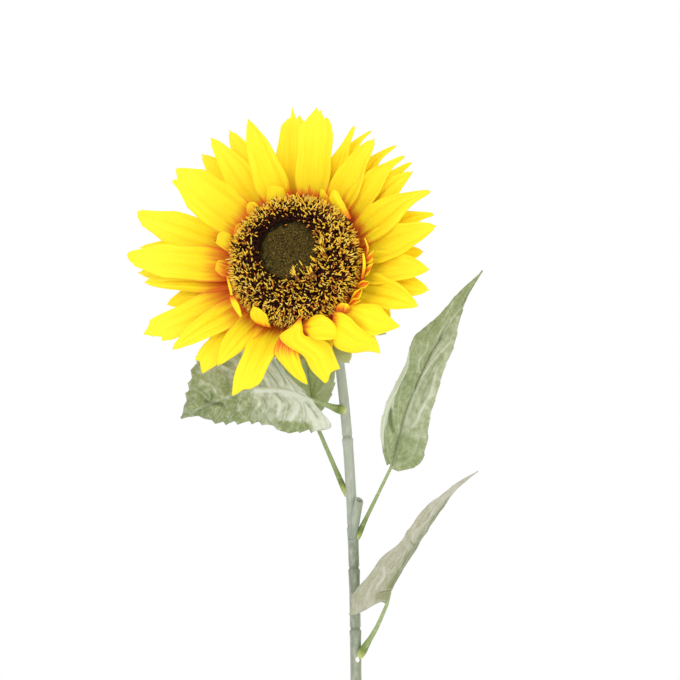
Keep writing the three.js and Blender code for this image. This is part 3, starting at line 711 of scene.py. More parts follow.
def near_crease(points, way, wide):
    """How near each point of a leaf is to a crease, from 0 to 1, fading at the crease's ends."""
    rows, columns = points.shape[0] - 1, points.shape[1] - 1
    ends = np.linspace(0, 1, 60)
    spots = through(way, ends)
    i = np.clip(spots[:, 0], 0, 1) * rows
    j = (np.clip(spots[:, 1], -1, 1) + 1) / 2 * columns
    low, left = np.minimum(i.astype(int), rows - 1), np.minimum(j.astype(int), columns - 1)
    i, j = (i - low)[:, None], (j - left)[:, None]
    spots = mix(
        mix(points[low, left], points[low, left + 1], j),
        mix(points[low + 1, left], points[low + 1, left + 1], j),
        i,
    )
    apart = np.linalg.norm(points[:, :, None] - spots, axis=-1)
    fade = (smooth(ends, 0, 0.2) * (1 - smooth(ends, 0.75, 1)))[apart.argmin(axis=-1)]
    return fade * np.exp(-((apart.min(axis=-1) / wide) ** 2))


def leaf_outline(leaf, u, v):
    """The flat leaf: its points, the way from the midrib to the margin at each, and its width."""
    a = np.abs(v)
    along = u[:, 0]
    held = np.minimum(along, 0.985)
    midrib, base = through(leaf["midrib"], along), through(leaf["midrib"], held)
    forward = unit(np.gradient(midrib, axis=0))
    near, far = (through(leaf[side], held) - base for side in ("near", "far"))
    spread = np.where(v[..., None] > 0, near[:, None], far[:, None])
    cut = leaf["notch"] * np.sin(math.pi * a**0.63) - leaf["lobe"] * np.sin(math.pi * a**1.6)
    cut = np.where(v > 0, cut, 0) * np.maximum(0, 1 - u / 0.15)
    points = midrib[:, None] + spread * a[..., None] + forward[:, None] * cut[..., None]
    # The margin's teeth: each rises slowly and drops at once, towards the tip.
    far_run, near_run = (
        np.cumsum(np.linalg.norm(np.gradient(midrib + side, axis=0), axis=1))[:, None]
        for side in (far, near)
    )
    saw = (np.where(v > 0, near_run, far_run) / leaf["saws"] + 0.12 * np.sin(u * 37)) % 1
    tooth = leaf["teeth"] * np.where(v > 0, 0.9, 1.35) * (saw**1.4 - 0.3)
    tooth = tooth * smooth(u, 0.02, 0.1) * (1 - smooth(u, 0.9, 0.97))
    points = points + unit(spread) * (tooth * smooth(a, 0.72, 1.0))[..., None]
    return points, spread, np.linalg.norm(spread, axis=-1)


def make_leaf(name, leaf, tint, looks, seed):
    rows, columns = 168, 72
    u = np.linspace(0, 1, rows + 1)[:, None]
    v = np.linspace(-1, 1, columns + 1)[None]
    a = np.abs(v)
    points, spread, width = leaf_outline(leaf, u, v)
    normal = normals(points)
    normal = normal * -np.sign(normal[rows // 3, columns // 2, 1])
    # Veins leave the midrib at even steps and lean towards the tip; the cloth swells between.
    lean = leaf["lean"] * smooth(u, -0.1, 0.35)
    rank = (u + 0.012 * ripple(u * 9, v * 3, seed) - lean * a**1.15) * leaf["veins"]
    off = 2 * np.abs(rank % 1 - 0.5)
    vein = smooth(off, 0.8, 1.0) * (1 - smooth(a, 0.7, 1.0)) * smooth(a, 0.0, 0.1)
    middle = np.exp(-((a / 0.045) ** 2))
    swell = (1 - off**2) * smooth(a, 0.03, 0.3) * (1 - smooth(a, 0.8, 1.0))
    relief = leaf["puff"] * swell + 0.3 * vein + leaf["rib"] * middle
    fold = np.where(v > 0, *leaf["fold"]) * np.sin(math.pi * a**0.55)
    relief = relief + fold * smooth(u, 0.0, 0.15) * (1 - smooth(u, 0.8, 1.0))
    relief = relief + 1.1 * a**2 * ripple(u * 10, v * 1.2, seed)
    relief = relief + 0.3 * ripple(u * 40, v * 11, seed + 1)
    frost, deep, curled = tint(u, v)
    # Painted shade: a dark band just beside each vein, where the swell dips into it, so the quilting reads
    # as pillows.
    crevice_shade = smooth(off, 0.6, 0.85) * (1 - smooth(off, 0.85, 1))
    crevice_shade = crevice_shade * smooth(a, 0.05, 0.3) * (1 - smooth(a, 0.75, 1))
    deep = np.maximum(deep, 0.9 * leaf["ribbed"] * crevice_shade)
    line = 0.0
    for height, wide, shade, way in CREASES[name]:
        close = near_crease(points, way, wide)
        relief = relief + height * close
        frost = frost + max(shade, 0) * close
        # Creases below 0 are sunken, and their dark tone is painted shade.
        deep = np.maximum(deep, -shade * close)
        line = np.maximum(line, max(shade - 0.6, 0) * 2 * close)
    curl = smooth(v, 0.62, 1.0) * curled
    relief = (relief + 3.4 * np.sin(curl * 2.2)) * smooth(width, 1.0, 6.0)
    points = points + normal * relief[..., None]
    points = points - spread * (0.12 * curl**2)[..., None]
    tags = {
        "vein": np.maximum(np.maximum(0.32 * vein, 0.35 * middle * leaf["ribbed"]), line),
        "frost": frost,
        "deep": deep,
        "rank": mix(rank, 0.28 * v * width + 2 * u, leaf["run"]),
    }
    bm = mesh_with(*tags)
    grid(bm, points, paired(u, 0.5 + 0.5 * v), tags)
    piece("leaf_" + name + "_cloth", bm, looks, ["leaf_" + name], 0.55)


def between(x, low, high, soft):
    return smooth(x, low - soft, low + soft) * (1 - smooth(x, high - soft, high + soft))


# For the points u along and v across a leaf, each tint says how frosted and how deep in colour
# they are, and how far the near margin curls over.
def tint_upper_left(u, v):
    frost = 0.12 + 0.42 * (1 - smooth(u, 0.3, 0.62)) + 0.18 * (1 - smooth(u, 0.05, 0.3))
    frost = frost + 0.25 * smooth(-v, 0.1, 0.5) * (1 - 0.5 * smooth(u, 0.6, 0.85))
    lobe = between(u, 0.14, 0.36, 0.04) * smooth(v, 0.72, 0.84)
    # Painted shade: a dark hollow near the tip, where the drooping petals shade the leaf.
    hollow = np.exp(-(((u - 0.74) / 0.07) ** 2) - ((v + 0.1) / 0.5) ** 2)
    return frost * (1 - lobe), np.maximum(0.45 * hollow, 0.15 * lobe), 0.0


# The rear left leaf is painted darker on its near half, as shade from the petals, and paler towards its far
# half, as painted light, over the frost of its print.
def tint_rear_left(_, v):
    return 0.36 + 0.25 * smooth(-v, 0.2, 0.8), 0.2 * smooth(v, 0.0, 0.6), 0.0


# Where the curled near margin of the upper right leaf begins across it, by share of its length.
CURLED_EDGE = [(0.12, 0.85), (0.2, 0.75), (0.25, 0.62), (0.34, 0.66), (0.41, 0.8), (0.54, 0.9), (0.63, 1)]


def tint_upper_right(u, v):
    curled = between(u, 0.12, 0.6, 0.1)
    edge = np.interp(u, *zip(*CURLED_EDGE))
    rim = smooth(v, edge - 0.03, edge + 0.04) * smooth(u, 0.05, 0.15)
    right = smooth(-v, 0.0, 0.04) * between(u, 0.2, 0.85, 0.12)
    return np.maximum(0.8 * rim, 0.34 * right) + 0.1, 0.0, curled


def tint_lower_right(u, v):
    foot = (1 - smooth(u, 0.09, 0.12)) * between(v, -0.2, 0.4, 0.06)
    strip = smooth(-v, -0.42, 0.0) * (1 - smooth(u, 0.7, 0.85)) * smooth(u, 0.08, 0.14)
    tail = smooth(u, 0.6, 0.8)
    return 0.55 * (1 - strip) * (1 - foot) + 0.2 * tail, np.maximum(0.75 * strip, 0.4 * foot), 0.0


# ---- Petals and sepals ----

# Blades leave the collar at ROOT_RADIUS and lie flat over ROOT_FLAT. Towards LOW degrees they
# rise more at their roots and arch over more. Each centreline is followed in CENTRELINE_STEPS.
ROOT_RADIUS, ROOT_FLAT = 29.5, 4.0
LOW, LOW_LIFT, LOW_ARCH = 278, 14, 64
CENTRELINE_STEPS = 96
# A blade's half width as a share of its widest, by share of its length, then how far short of
# the full length it is cut, at points across it from its right edge at -1 to its left at 1.
TIPS = {
    "point": (
        [(0.45, 1), (0.7, 0.85), (0.88, 0.5), (1, 0.06)],
        [(-1, 0.06), (0, 0), (1, 0.06)],
    ),
    "fin": (
        [(0.4, 1), (0.6, 0.86), (0.78, 0.6), (0.9, 0.34), (1, 0.04)],
        [(-1, 0.05), (0, 0), (1, 0.05)],
    ),
    "tail": (
        [(0.4, 1), (0.58, 0.88), (0.7, 0.62), (0.79, 0.38), (0.87, 0.25), (0.95, 0.18), (1, 0.06)],
        [(-1, 0.02), (0, 0), (1, 0.02)],
    ),
    "slant": (
        [(0.45, 1), (0.72, 0.88), (0.88, 0.55), (1, 0.3)],
        [(-1, 0.03), (-0.6, 0), (0.4, 0.02), (1, 0.07)],
    ),
    "crown": (
        [(0.45, 1), (0.6, 0.94), (0.8, 0.7), (0.93, 0.5), (1, 0.4)],
        [(-1, 0.16), (-0.64, 0.072), (-0.3, 0.112), (0, 0), (0.3, 0.1), (0.49, 0.095), (1, 0.16)],
    ),
    "tower": (
        [(0.45, 1), (0.75, 0.97), (0.93, 0.74), (1, 0.6)],
        [
            (-1, 0.13), (-0.8, 0.075), (-0.55, 0.1), (-0.3, 0.025),
            (-0.1, 0.035), (0.1, 0), (0.64, 0.09), (1, 0.18),
        ],
    ),
    "notch": (
        [(0.45, 1), (0.75, 0.95), (1, 0.75)],
        [
            (-1, 0.2), (-0.6, 0.08), (-0.4, 0.02), (-0.2, 0), (0, 0.03),
            (0.18, 0.065), (0.5, 0.03), (0.6, 0.13), (1, 0.28),
        ],
    ),
    "nick": (
        [(0.45, 1), (0.75, 0.88), (1, 0.65)],
        [(-1, 0.1), (-0.3, 0), (0.2, 0.06), (0.55, 0.135), (0.85, 0.12), (1, 0.2)],
    ),
    "fork": (
        [(0.45, 1), (1, 0.75)],
        [(-1, 0.14), (-0.8, 0.038), (-0.4, 0.075), (0.1, 0.03), (0.67, 0), (1, 0.16)],
    ),
    "droop": (
        [(0.45, 1), (0.8, 0.85), (1, 0.65)],
        [(-1, 0.02), (-0.9, 0), (-0.05, 0.095), (0.5, 0.13), (0.9, 0.19), (1, 0.26)],
    ),
}
# Each layer's seat, rise and arch, then its blades: direction, length and half width. Most petals
# also have how far the tip leans aside, and the cut of the tip.
SEPALS = {
    "back": (-8.0, -6, 14, [
        [2, 37, 8.5], [35, 39, 8.5], [73, 38, 9], [108, 41, 8.5], [146, 40, 9], [181, 42, 8.5],
        [214, 40, 9], [246, 33, 8.5], [298, 33.5, 7.5], [324, 34, 8],
    ]),
    "front": (-6.6, 0, 10, [
        [19, 34, 8], [54, 35, 8], [90, 36, 8.5], [127, 36, 8], [163, 38, 8.5], [198, 37, 8],
        [233, 30, 8], [270, 27, 8.5], [306, 31, 8], [345, 31, 8],
    ]),
}
PETALS = {
    "back": (-5.2, 9, 6, [
        [7.5, 44.5, 9.5, 0, "fin"], [24, 30, 9], [46.5, 60, 8, -3, "tail"],
        [70.5, 61, 7.5, -9, "tail"], [88, 30, 9], [103, 32, 9],
        [119.5, 67.5, 10.5, 1, "fin"], [132.5, 64.5, 10.5, 1, "fin"], [153, 32, 11],
        [173.5, 69.5, 10, 0, "fin"], [182.5, 69.5, 10, -1, "fin"], [195.5, 54, 10, 0, "fin"],
        [212, 32, 9], [243, 30, 9], [262, 28, 9],
        [287, 30, 9.5], [309, 32, 11], [331, 34, 10],
    ]),
    "middle": (-3.8, 17, 6, [
        [23, 58, 9.5, -5, "tail"], [40.5, 59.5, 9, -3, "fin"], [56.5, 62, 8, -8, "tail"],
        [71, 60, 7.5, -2, "tail"], [95, 67, 11.5, 0, "crown"], [126, 67, 10, 1, "fin"],
        [164, 74.5, 11, 0, "slant"], [187, 64.5, 10, 1, "fin"], [206, 71.5, 10, 0, "nick"],
        [227.5, 56, 8.5, 0, "fork"], [323, 30, 10],
        [349, 53, 11, 0, "fin"],
    ]),
    "front": (-2.4, 25, 6, [
        [13, 62, 10.5, 0, "fin"], [28.5, 66.5, 10, -5, "tail"], [47.5, 63.5, 8.5, -6, "tail"],
        [59.5, 60.5, 9.5, -3, "fin"], [84, 66.5, 10.5, 0, "tower"], [110.5, 65.5, 10, 0, "fin"],
        [145, 66.5, 13, 0, "notch"], [180.5, 74.5, 11, 0, "slant"], [216, 61.5, 9, 1, "fin"],
        [234.5, 48.5, 8.5, 0, "fin"], [250.5, 59.5, 9.5, 0, "droop"], [341, 53.5, 10.5, -1, "fin"],
        [357, 54.5, 10.5, -1, "fin"],
    ]),
}
# What all blades of a kind share: how far every second one lies over its neighbours, how much more
# those towards LOW arch over, their faces along and across, pleats, root folds and thickness.
BLADES = {
    "petal": {"over": 1, "sag": 1.0, "faces": (52, 34), "pleat": 0.4, "fold": 0.25, "thick": 0.35},
    "sepal": {"over": 0, "sag": 0.6, "faces": (30, 14), "pleat": 0.35, "fold": 0.2, "thick": 0.45},
}
# How far the orange runs out along the petals, and how strong the red in their root folds is,
# partly dye and partly painted shade, by direction.
BLUSH = [
    (0, 6.5), (30, 10.5), (60, 10), (90, 6), (130, 7), (158, 14), (180, 20), (205, 20), (235, 15),
    (260, 10), (290, 7), (335, 6), (360, 6.5),
]
REDNESS = [
    (0, 1.0), (45, 0.9), (70, 0.55), (95, 0.35), (125, 0.6), (150, 0.85), (180, 0.8), (215, 0.6),
    (250, 0.6), (290, 0.4), (330, 0.9), (360, 1.0),
]
# Petals that turn over the lower rim of the disc, and small ones that curl up all round it: how
# far the orange of each runs out, then its curves from the root to the tip, side by side.
FLAPS = [
    (11, [
        [[-7, -45, 12], [-9.5, -54, 12], [-4, -61.5, 9], [2.5, -67.5, 5], [8.5, -70.5, 1]],
        [[-1, -48, 13], [-0.5, -56, 13.5], [3, -62, 10.5], [6, -67, 6], [9, -70.5, 1.5]],
        [[4.5, -51, 13], [6.5, -57, 13], [7.5, -62, 10], [8.5, -66, 5.5], [9, -70, 1.5]],
    ]),
    (7, [
        [
            [8.5, -37, 26], [3.5, -41, 23], [-5, -46, 18], [0.5, -52, 15.5],
            [8.5, -56.5, 13], [12.5, -63.5, 8], [19.5, -70, 2],
        ],
        [
            [9, -37.5, 26.5], [7, -42, 24.5], [2.5, -47.5, 20.5], [7, -52, 18],
            [14.5, -57, 15], [18, -63.5, 9], [21.5, -69, 3],
        ],
        [
            [9, -37.5, 26.5], [8.5, -41.5, 24.5], [8, -47, 21.5], [12.5, -50.5, 19],
            [19, -54, 15.5], [22, -60, 9.5], [23.5, -64, 4],
        ],
        [
            [9, -37, 26], [9.5, -41, 23], [10.5, -46, 20], [18, -47, 18.5],
            [24, -49.5, 14], [26.5, -55.5, 9], [28.5, -61.5, 3],
        ],
    ]),
    (7, [
        [[9, -37, 17], [16.5, -35, 23.5], [22.5, -35.5, 26], [28.5, -39.5, 23.5], [32, -46, 19]],
        [[8.5, -40.5, 18], [17, -41.5, 24.5], [24, -42, 26], [28.5, -44.5, 24], [32, -47, 19]],
        [[9, -43, 16], [15.5, -48, 21], [22, -49.5, 23], [27.5, -48.5, 21], [32, -47.5, 19]],
    ]),
    (7, [
        [[27, -32, 20], [32, -33, 23], [37.5, -36, 23], [41.5, -40, 20], [45.5, -42.5, 15], [49, -43, 9]],
        [
            [26.5, -38, 20], [33, -41.5, 24], [38.5, -45, 23.5], [42.5, -47.5, 19],
            [47, -48, 14], [51.5, -48, 8],
        ],
        [[25, -45, 16], [28, -51.5, 18], [33, -54.5, 17], [39.5, -55, 14], [46, -53, 10], [52.5, -53, 5]],
    ]),
    (7, [
        [[31.5, -27, 13], [38.5, -26, 15], [46, -26, 15], [52, -26.5, 13], [57, -31.5, 10], [63, -36.5, 6]],
        [[31, -29, 14], [39, -31, 17], [45.5, -34, 17], [51.5, -36, 14], [57.5, -37.5, 11], [63, -37, 6]],
        [
            [29.5, -30.5, 13], [35.5, -35.5, 15], [41.5, -40, 14], [48, -44, 12],
            [55, -41.5, 9], [63, -37.5, 6],
        ],
    ]),
]
CURLS = [
    (5, [
        [[-22.5, -36, 10], [-23.5, -33.5, 18], [-20, -30, 26]],
        [[-17.5, -38, 11], [-17, -34.5, 21], [-15.5, -32, 27.5]],
        [[-12.5, -39, 11], [-11.5, -37, 20], [-11.5, -35, 26]],
    ]),
    (8, [
        [[-39.5, 5.5, 5], [-44.5, 8.5, 8], [-49.5, 12, 10]],
        [[-39, 10.5, 6], [-43.5, 14, 9], [-48, 17.5, 11]],
        [[-38, 15, 6], [-41, 18, 9], [-45, 19.5, 10]],
    ]),
    (10, [
        [[-27.5, 27, 5], [-31.5, 29.5, 8], [-32.5, 34, 10]],
        [[-24.5, 30.5, 6], [-28, 33.5, 9], [-30.5, 36.5, 11]],
        [[-22, 33.5, 6], [-24.5, 35, 9], [-27.5, 37, 10]],
    ]),
    (16, [
        [[-37.5, 15, 5], [-39.5, 18, 8], [-38.5, 22.5, 9]],
        [[-34, 19, 6], [-36.5, 22, 9], [-35.5, 24.5, 10]],
        [[-29, 21.5, 6], [-30.5, 23.5, 8], [-32.5, 25.5, 9]],
    ]),
    (6, [
        [[-19.5, 34, 6], [-21, 39.5, 9], [-19.5, 45.5, 12]],
        [[-14, 35.5, 7], [-14.5, 40.5, 11], [-14.5, 46, 13]],
        [[-8.5, 37, 6], [-9, 40.5, 9], [-9.5, 44, 12]],
    ]),
    (14, [
        [[-40, -8, 5], [-45, -7.5, 8], [-49, -4, 9]],
        [[-39.5, -3, 6], [-44.5, -2, 9], [-48.5, -0.5, 10]],
        [[-40.5, 1.5, 6], [-44.5, 2.5, 8], [-47.5, 2, 9]],
    ]),
    (7, [
        [[28, 24.5, 9], [21, 32, 13], [19, 37, 16], [21, 42, 17]],
        [[30, 25.5, 10], [24.5, 33, 14], [22.5, 37.5, 17], [22.5, 41.5, 18]],
        [[31, 27, 9], [28.5, 33, 13], [25.5, 38, 15], [24, 41, 17]],
    ]),
    (10, [
        [[16, 33.5, 7], [12.5, 38, 11], [12, 43.5, 13]],
        [[18, 34.5, 8], [14.5, 39, 12], [13.5, 43.5, 14]],
        [[19.5, 35.5, 7], [17, 39.5, 11], [14.5, 43, 13]],
    ]),
    (24, [
        [[3, 39, 6], [4, 43, 9], [5, 47, 11]],
        [[6.5, 39, 6], [6, 43, 9], [5.5, 47, 11]],
    ]),
    (12, [
        [[42.5, 2.5, 12], [44.5, 7, 16], [42.5, 12.5, 18]],
        [[42, 2.5, 13], [43.5, 7, 17], [42, 12.5, 18.5]],
    ]),
    (9, [
        [[41, -10.5, 12], [43.5, -4, 17], [42.5, 3.5, 18]],
        [[40, -10.5, 13], [42, -4, 18], [41.5, 3.5, 18.5]],
    ]),
    (6, [
        [[-36, -23, 20], [-33, -29, 23], [-29, -35, 19]],
        [[-33.5, -22.5, 21], [-29, -28.5, 24], [-28, -34, 19]],
    ]),
    (6, [
        [[-40.5, -9, 15], [-37.5, -16, 19], [-36.5, -21, 16]],
        [[-39, -9, 16], [-35.5, -16.5, 20], [-35, -21, 17]],
    ]),
    (12, [
        [[28, -31, 17], [28.5, -29, 21], [32, -27.5, 24]],
        [[31, -31.5, 17], [33, -30, 23], [34.5, -28, 25]],
        [[34.5, -31.5, 16], [37, -30, 21], [36, -28, 23]],
    ]),
]
# Edges that curl towards each other, with painted shade as red in the hollow between them.
HOLLOWS = [
    [
        [[38, -15, 13], [42, -13, 18], [46, -13, 16]],
        [[38, -14.5, 12], [42, -14, 14.5], [45.5, -13, 14]],
        [[38, -15, 12], [43.5, -17, 17], [46, -13.5, 15.5]],
    ],
    [
        [[34.5, -25.5, 14], [38.5, -20.5, 20], [42.5, -17, 18]],
        [[35, -25, 13], [39, -20.5, 15.5], [41.5, -17, 15]],
        [[35, -25.5, 13], [41.5, -23, 18.5], [42.5, -17.5, 17]],
    ],
    [
        [[34, -26, 15], [38, -24, 19.5], [41, -23, 16]],
        [[34.5, -26, 14], [38, -24.5, 16], [40.5, -23.5, 14.5]],
        [[35, -26.5, 14], [39.5, -26.5, 18], [41.5, -24, 15.5]],
    ],
    [
        [[42, 2, 12], [44.5, 3.5, 15], [47, 6.5, 14]],
        [[41.5, 0.5, 11], [44, 1.5, 12.5], [46, 4, 12]],
        [[42, -1.5, 12], [45, -1.5, 15], [47, 0.5, 14]],
    ],
    [
        [[42, -4, 12], [44.5, -3, 15], [47, -1, 13.5]],
        [[41.5, -6, 11], [43.5, -5.5, 12.5], [45.5, -4, 12]],
        [[41.5, -9, 12], [44, -9, 15], [45.5, -6, 14]],
    ],
]

# The values that the cloth of petals and sepals reads at its vertices.
BLADE_TAGS = ("hue", "margin", "clear", "red", "valley")


def lowness(degrees):
    """How near a direction is to the bloom's low side, from 0 to 1."""
    return ((1 + math.cos(math.radians(degrees - LOW))) / 2) ** 3


def add_blade(bm, blade, seat, rise, arch, seed, shared):
    """One petal or sepal, as a pleated sheet that follows its centreline out of the collar."""
    degrees, reach, half, lean, tip = blade
    rng = random.Random(seed)
    profile, cuts = (np.array(k) for k in TIPS[tip])
    flat = ROOT_FLAT / reach
    fine = CENTRELINE_STEPS
    s = (np.arange(fine) + 0.5) / fine
    slope = np.radians((rise - arch * s**1.4) * smooth(s, 0.4 * flat, 1.6 * flat))
    out = ROOT_RADIUS + running(np.cos(slope)) * reach / fine
    up = seat + running(np.sin(slope)) * reach / fine
    share = np.linspace(0, 1, fine + 1)
    tilt = np.interp(share, s, slope)
    rows, columns = shared["faces"]
    u = np.linspace(0, 1, rows + 1)[:, None]
    v = np.linspace(-1, 1, columns + 1)[None]
    wide = np.abs(v)
    cut = np.interp(v, *cuts.T) + 0.006 * ripple(v * 14 + seed, 0 * v, seed)
    short = np.clip(u * (1 - cut * smooth(u, 0.5, 1)), 0, 1)
    r, w, a = (np.interp(short, share, k) for k in (out, up, tilt))
    swell = sum(np.interp(short + shift, *profile.T) for shift in (-0.03, 0, 0.03)) / 3
    swell = swell * mix(0.42, 1, np.sin(np.minimum(short / 0.42, 1) * math.pi / 2))
    waist = 0.04 * np.sin(short * 15 + rng.uniform(0, 6)) * smooth(short, 0.3, 0.6)
    width = half * swell * (1 + waist)
    opened = smooth(short, flat, 0.35)
    roll = math.radians(3 * math.sin(math.radians(1.7 * degrees))) * opened
    aside = width * v + rng.uniform(-0.6, 0.6) * np.sin(math.pi * short)
    aside = aside + lean * np.maximum((short - 0.66) / 0.34, 0) ** 1.7
    lift = 0.07 * width * v * v * opened
    # Folds at the root, pleats along the blade, a crease down it and a waved margin.
    root = smooth(short, 0.02, 0.12) * (1 - smooth(short, 0.3, 0.7))
    lift = lift + shared["fold"] * width * (v * v - 0.35) * root
    phase = rng.uniform(-0.4, 0.4)
    count = rng.choice([2.0, 2.5, 3.0])
    body = smooth(short, 0.06, 0.2) * (1 - 0.7 * smooth(short, 0.5, 1))
    pleats = np.cos(math.pi * (count * v + phase))
    pleats = pleats + 0.45 * np.cos(math.pi * (2.3 * count * v - phase))
    crease = np.exp(-(((v - 0.5 * phase) / 0.11) ** 2))
    lift = lift + shared["pleat"] * (pleats - 1.1 * crease) * body * smooth(width, 0.5, 4)
    wave = np.sin(2 * math.pi * (1.1 * short + rng.random()))
    lift = lift + 0.9 * v * wide * wave * smooth(short, 0.3, 0.8) * smooth(width, 0.5, 4)
    lift = lift + 0.8 * ripple(short * 5 + seed, v * 1.5, seed + 7) * smooth(short, 0.25, 0.7)
    angle = math.radians(degrees)
    way = np.array([math.cos(angle), math.sin(angle), 0])
    around = np.array([-way[1], way[0], 0])
    radial = r - np.sin(a) * lift
    height = w + np.cos(a) * lift + aside * np.sin(roll)
    points = (
        radial[..., None] * way
        + (aside * np.cos(roll))[..., None] * around
        + height[..., None] * np.array([0, 0, 1.0])
    )
    # The blade shows from where it comes out past the rim of the disc, seen from the front.
    hidden = 11 + 4 * math.cos(angle - TURN)
    blush, redness = (np.interp(degrees % 360, *zip(*table)) for table in (BLUSH, REDNESS))
    tags = {
        "hue": rng.random(),
        "margin": wide,
        "clear": (short * reach - hidden) / blush,
        "red": redness,
        "valley": np.clip(0.5 - 0.35 * pleats + 0.4 * crease, 0, 1),
    }
    grid(bm, in_bloom(points), paired(short * reach / 80, 0.5 + v * half / 30), tags)


def add_flap(bm, curves, seed, faces, pleat, puff, extent=None):
    """A small petal through curves that run side by side from its root to its tip. One without
    an extent is painted red in its middle as shade in its hollow, and is yellow at its edges."""
    rng = random.Random(seed)
    rows, columns = faces
    u = np.linspace(0, 1, rows + 1)[:, None]
    v = np.linspace(0, 1, columns + 1)[None]
    lines = np.stack([through(curve, u[:, 0]) for curve in curves])
    points = np.stack([through(lines[:, i], v[0]) for i in range(rows + 1)])
    normal = normals(points)
    normal = normal * np.sign(normal[rows // 2, columns // 2, 2] or 1)
    bulge = np.sin(math.pi * v) * np.sin(math.pi * u)
    waves = np.cos(math.pi * (5 * v + rng.random() + 0.3 * u))
    relief = puff * bulge + pleat * waves * smooth(u, 0, 0.3) * (1 - u**3)
    points = points + normal * relief[..., None]
    reach = run_along(lines[len(curves) // 2])[-1]
    edge = np.abs(2 * v - 1)
    tags = {
        "hue": rng.random(),
        "margin": edge if extent else 0.0,
        # Without an extent, the low middle of the grade is painted shade.
        "clear": u * reach / extent if extent else edge**2 - 0.1 + 0.3 * u,
        "red": 0.7,
        "valley": np.clip(0.5 - 0.4 * waves, 0, 1),
    }
    grid(bm, in_bloom(points), paired((9 + u * reach) / 80, 0.3 + 0.3 * v), tags)


def petal_look(name, layer_shade=0.0):
    """Pleated yellow cloth: orange at the root, red in its root folds, partly dye and partly painted
    shade, amber painted shade in its creases, and lemon at the tip.
    """
    look = Look(
        "Petal cloth " + name,
        roughness=0.65,
        Specular_IOR_Level=0.2,
        Subsurface_Weight=0.15,
        Subsurface_Scale=0.002,
        Subsurface_Radius=(1.0, 0.55, 0.1),
    )
    along, across = look.uv()
    hue, clear, red, valley, margin = map(look.attribute, ("hue", "clear", "red", "valley", "margin"))
    seed = look.times(hue, 40.0)
    ripples = look.noise(look.joined(along, hue), 6, 1)
    wavy = look.math("MULTIPLY_ADD", ripples, 0.03, across)

    def streaks(length, width, detail):
        place = look.joined(look.times(along, length), look.times(wavy, width), seed)
        return look.noise(place, 1.0, detail, 0.6)

    fine, broad = streaks(3.0, 62.0, 4), streaks(1.6, 20.0, 2)
    # A lower grade turns the deeper layers more orange, as painted shade.
    grade = look.swing(broad, 1.1, look.swing(fine, 1.1, look.plus(clear, layer_shade)))
    tone = look.ramp(
        grade, (0.0, 226, 84, 32), (0.2, 242, 126, 34), (0.45, 250, 178, 30), (0.8, 253, 222, 28)
    )
    tone = look.over(tone, (243, 225, 48), along, 0.4, 0.9)
    # Red in the root folds and towards the sides: partly the root's red dye and partly painted shade, where
    # pleats and overlapping petals lie deep.
    side = look.step(margin, 0.55, 1.0, 0.6)
    fold = look.math("MAXIMUM", look.times(valley, 0.8), side)
    fold = look.plus(fold, look.times(look.math("SUBTRACT", broad, 0.5), 1.4))
    fold = look.times(look.step(fold, 0.25, 0.85), look.step(grade, 0.95, 0.15))
    tone = look.blend(look.times(fold, red), tone, srgb(220, 70, 28))
    # Amber lines, light streaks, amber painted shade in the creases and a red edge of painted shade
    # where petals overlap, each over its own part of the blade.
    for colour, pattern, part in (
        ((246, 194, 16), (fine, 0.5, 0.7), (along, 0.95, 0.2, 0.45)),
        ((248, 234, 70), (fine, 0.46, 0.34), (along, 0.1, 0.5, 0.5)),
        ((244, 188, 14), (valley, 0.6, 1.0), (along, 0.85, 0.3, 0.3)),
        ((232, 106, 32), (margin, 0.86, 0.99), (clear, 1.8, 0.4, 0.8)),
    ):
        share = look.times(look.step(*pattern), look.step(*part))
        tone = look.blend(share, tone, srgb(*colour))
    thread = look.joined(look.times(along, 40.0), look.times(across, 260.0), hue)
    relief = look.bump(look.noise(thread, 1.0, 2), 0.1, 0.3, look.bump(fine, 0.5, 0.35))
    return look.finish(tone, relief)


def sepal_look():
    """Green cloth, striped along the blade and pale at its margin."""
    look = Look("Sepal cloth", roughness=0.8, Specular_IOR_Level=0.2, Sheen_Weight=0.3)
    along, across = look.uv()
    seed = look.times(look.attribute("hue"), 40.0)
    stripes = look.noise(look.joined(look.times(along, 5.0), look.times(across, 60.0), seed), 1.0, 4)
    tone = look.ramp(
        look.math("MULTIPLY_ADD", stripes, 0.2, along),
        (0.1, 118, 132, 62),
        (0.3, 150, 162, 92),
        (0.5, 178, 182, 122),
        (0.7, 188, 182, 138),
    )
    tone = look.over(tone, (184, 190, 138), stripes, 0.5, 0.7, 0.5)
    tone = look.over(tone, (196, 200, 160), look.attribute("margin"), 0.88, 1.0, 0.5)
    fine = look.noise(look.place(), 1500, 3)
    return look.finish(tone, look.bump(fine, 0.15, 0.5, look.bump(stripes, 0.5, 0.5)))


def make_layer(kind, name, layer, look, seed):
    """One layer of petals or sepals, as one piece."""
    seat, rise, arch, blades = layer
    shared = BLADES[kind]
    bm = mesh_with(*BLADE_TAGS)
    for i, (degrees, reach, half, *cut) in enumerate(blades):
        lean, tip = cut or (0, "point")
        low = lowness(degrees)
        over = shared["over"] * (i % 2)
        lift = rise + LOW_LIFT * low + 1.5 * math.sin(math.radians(2.9 * degrees)) + 2 * over
        bend = arch + LOW_ARCH * low * shared["sag"]
        blade = (degrees, reach, half, lean, tip)
        add_blade(bm, blade, seat + 0.7 * over, lift, bend, seed + i, shared)
    piece(f"{kind}s_{name}", bm, [look], [f"{kind}_layer_{name}"], shared["thick"])


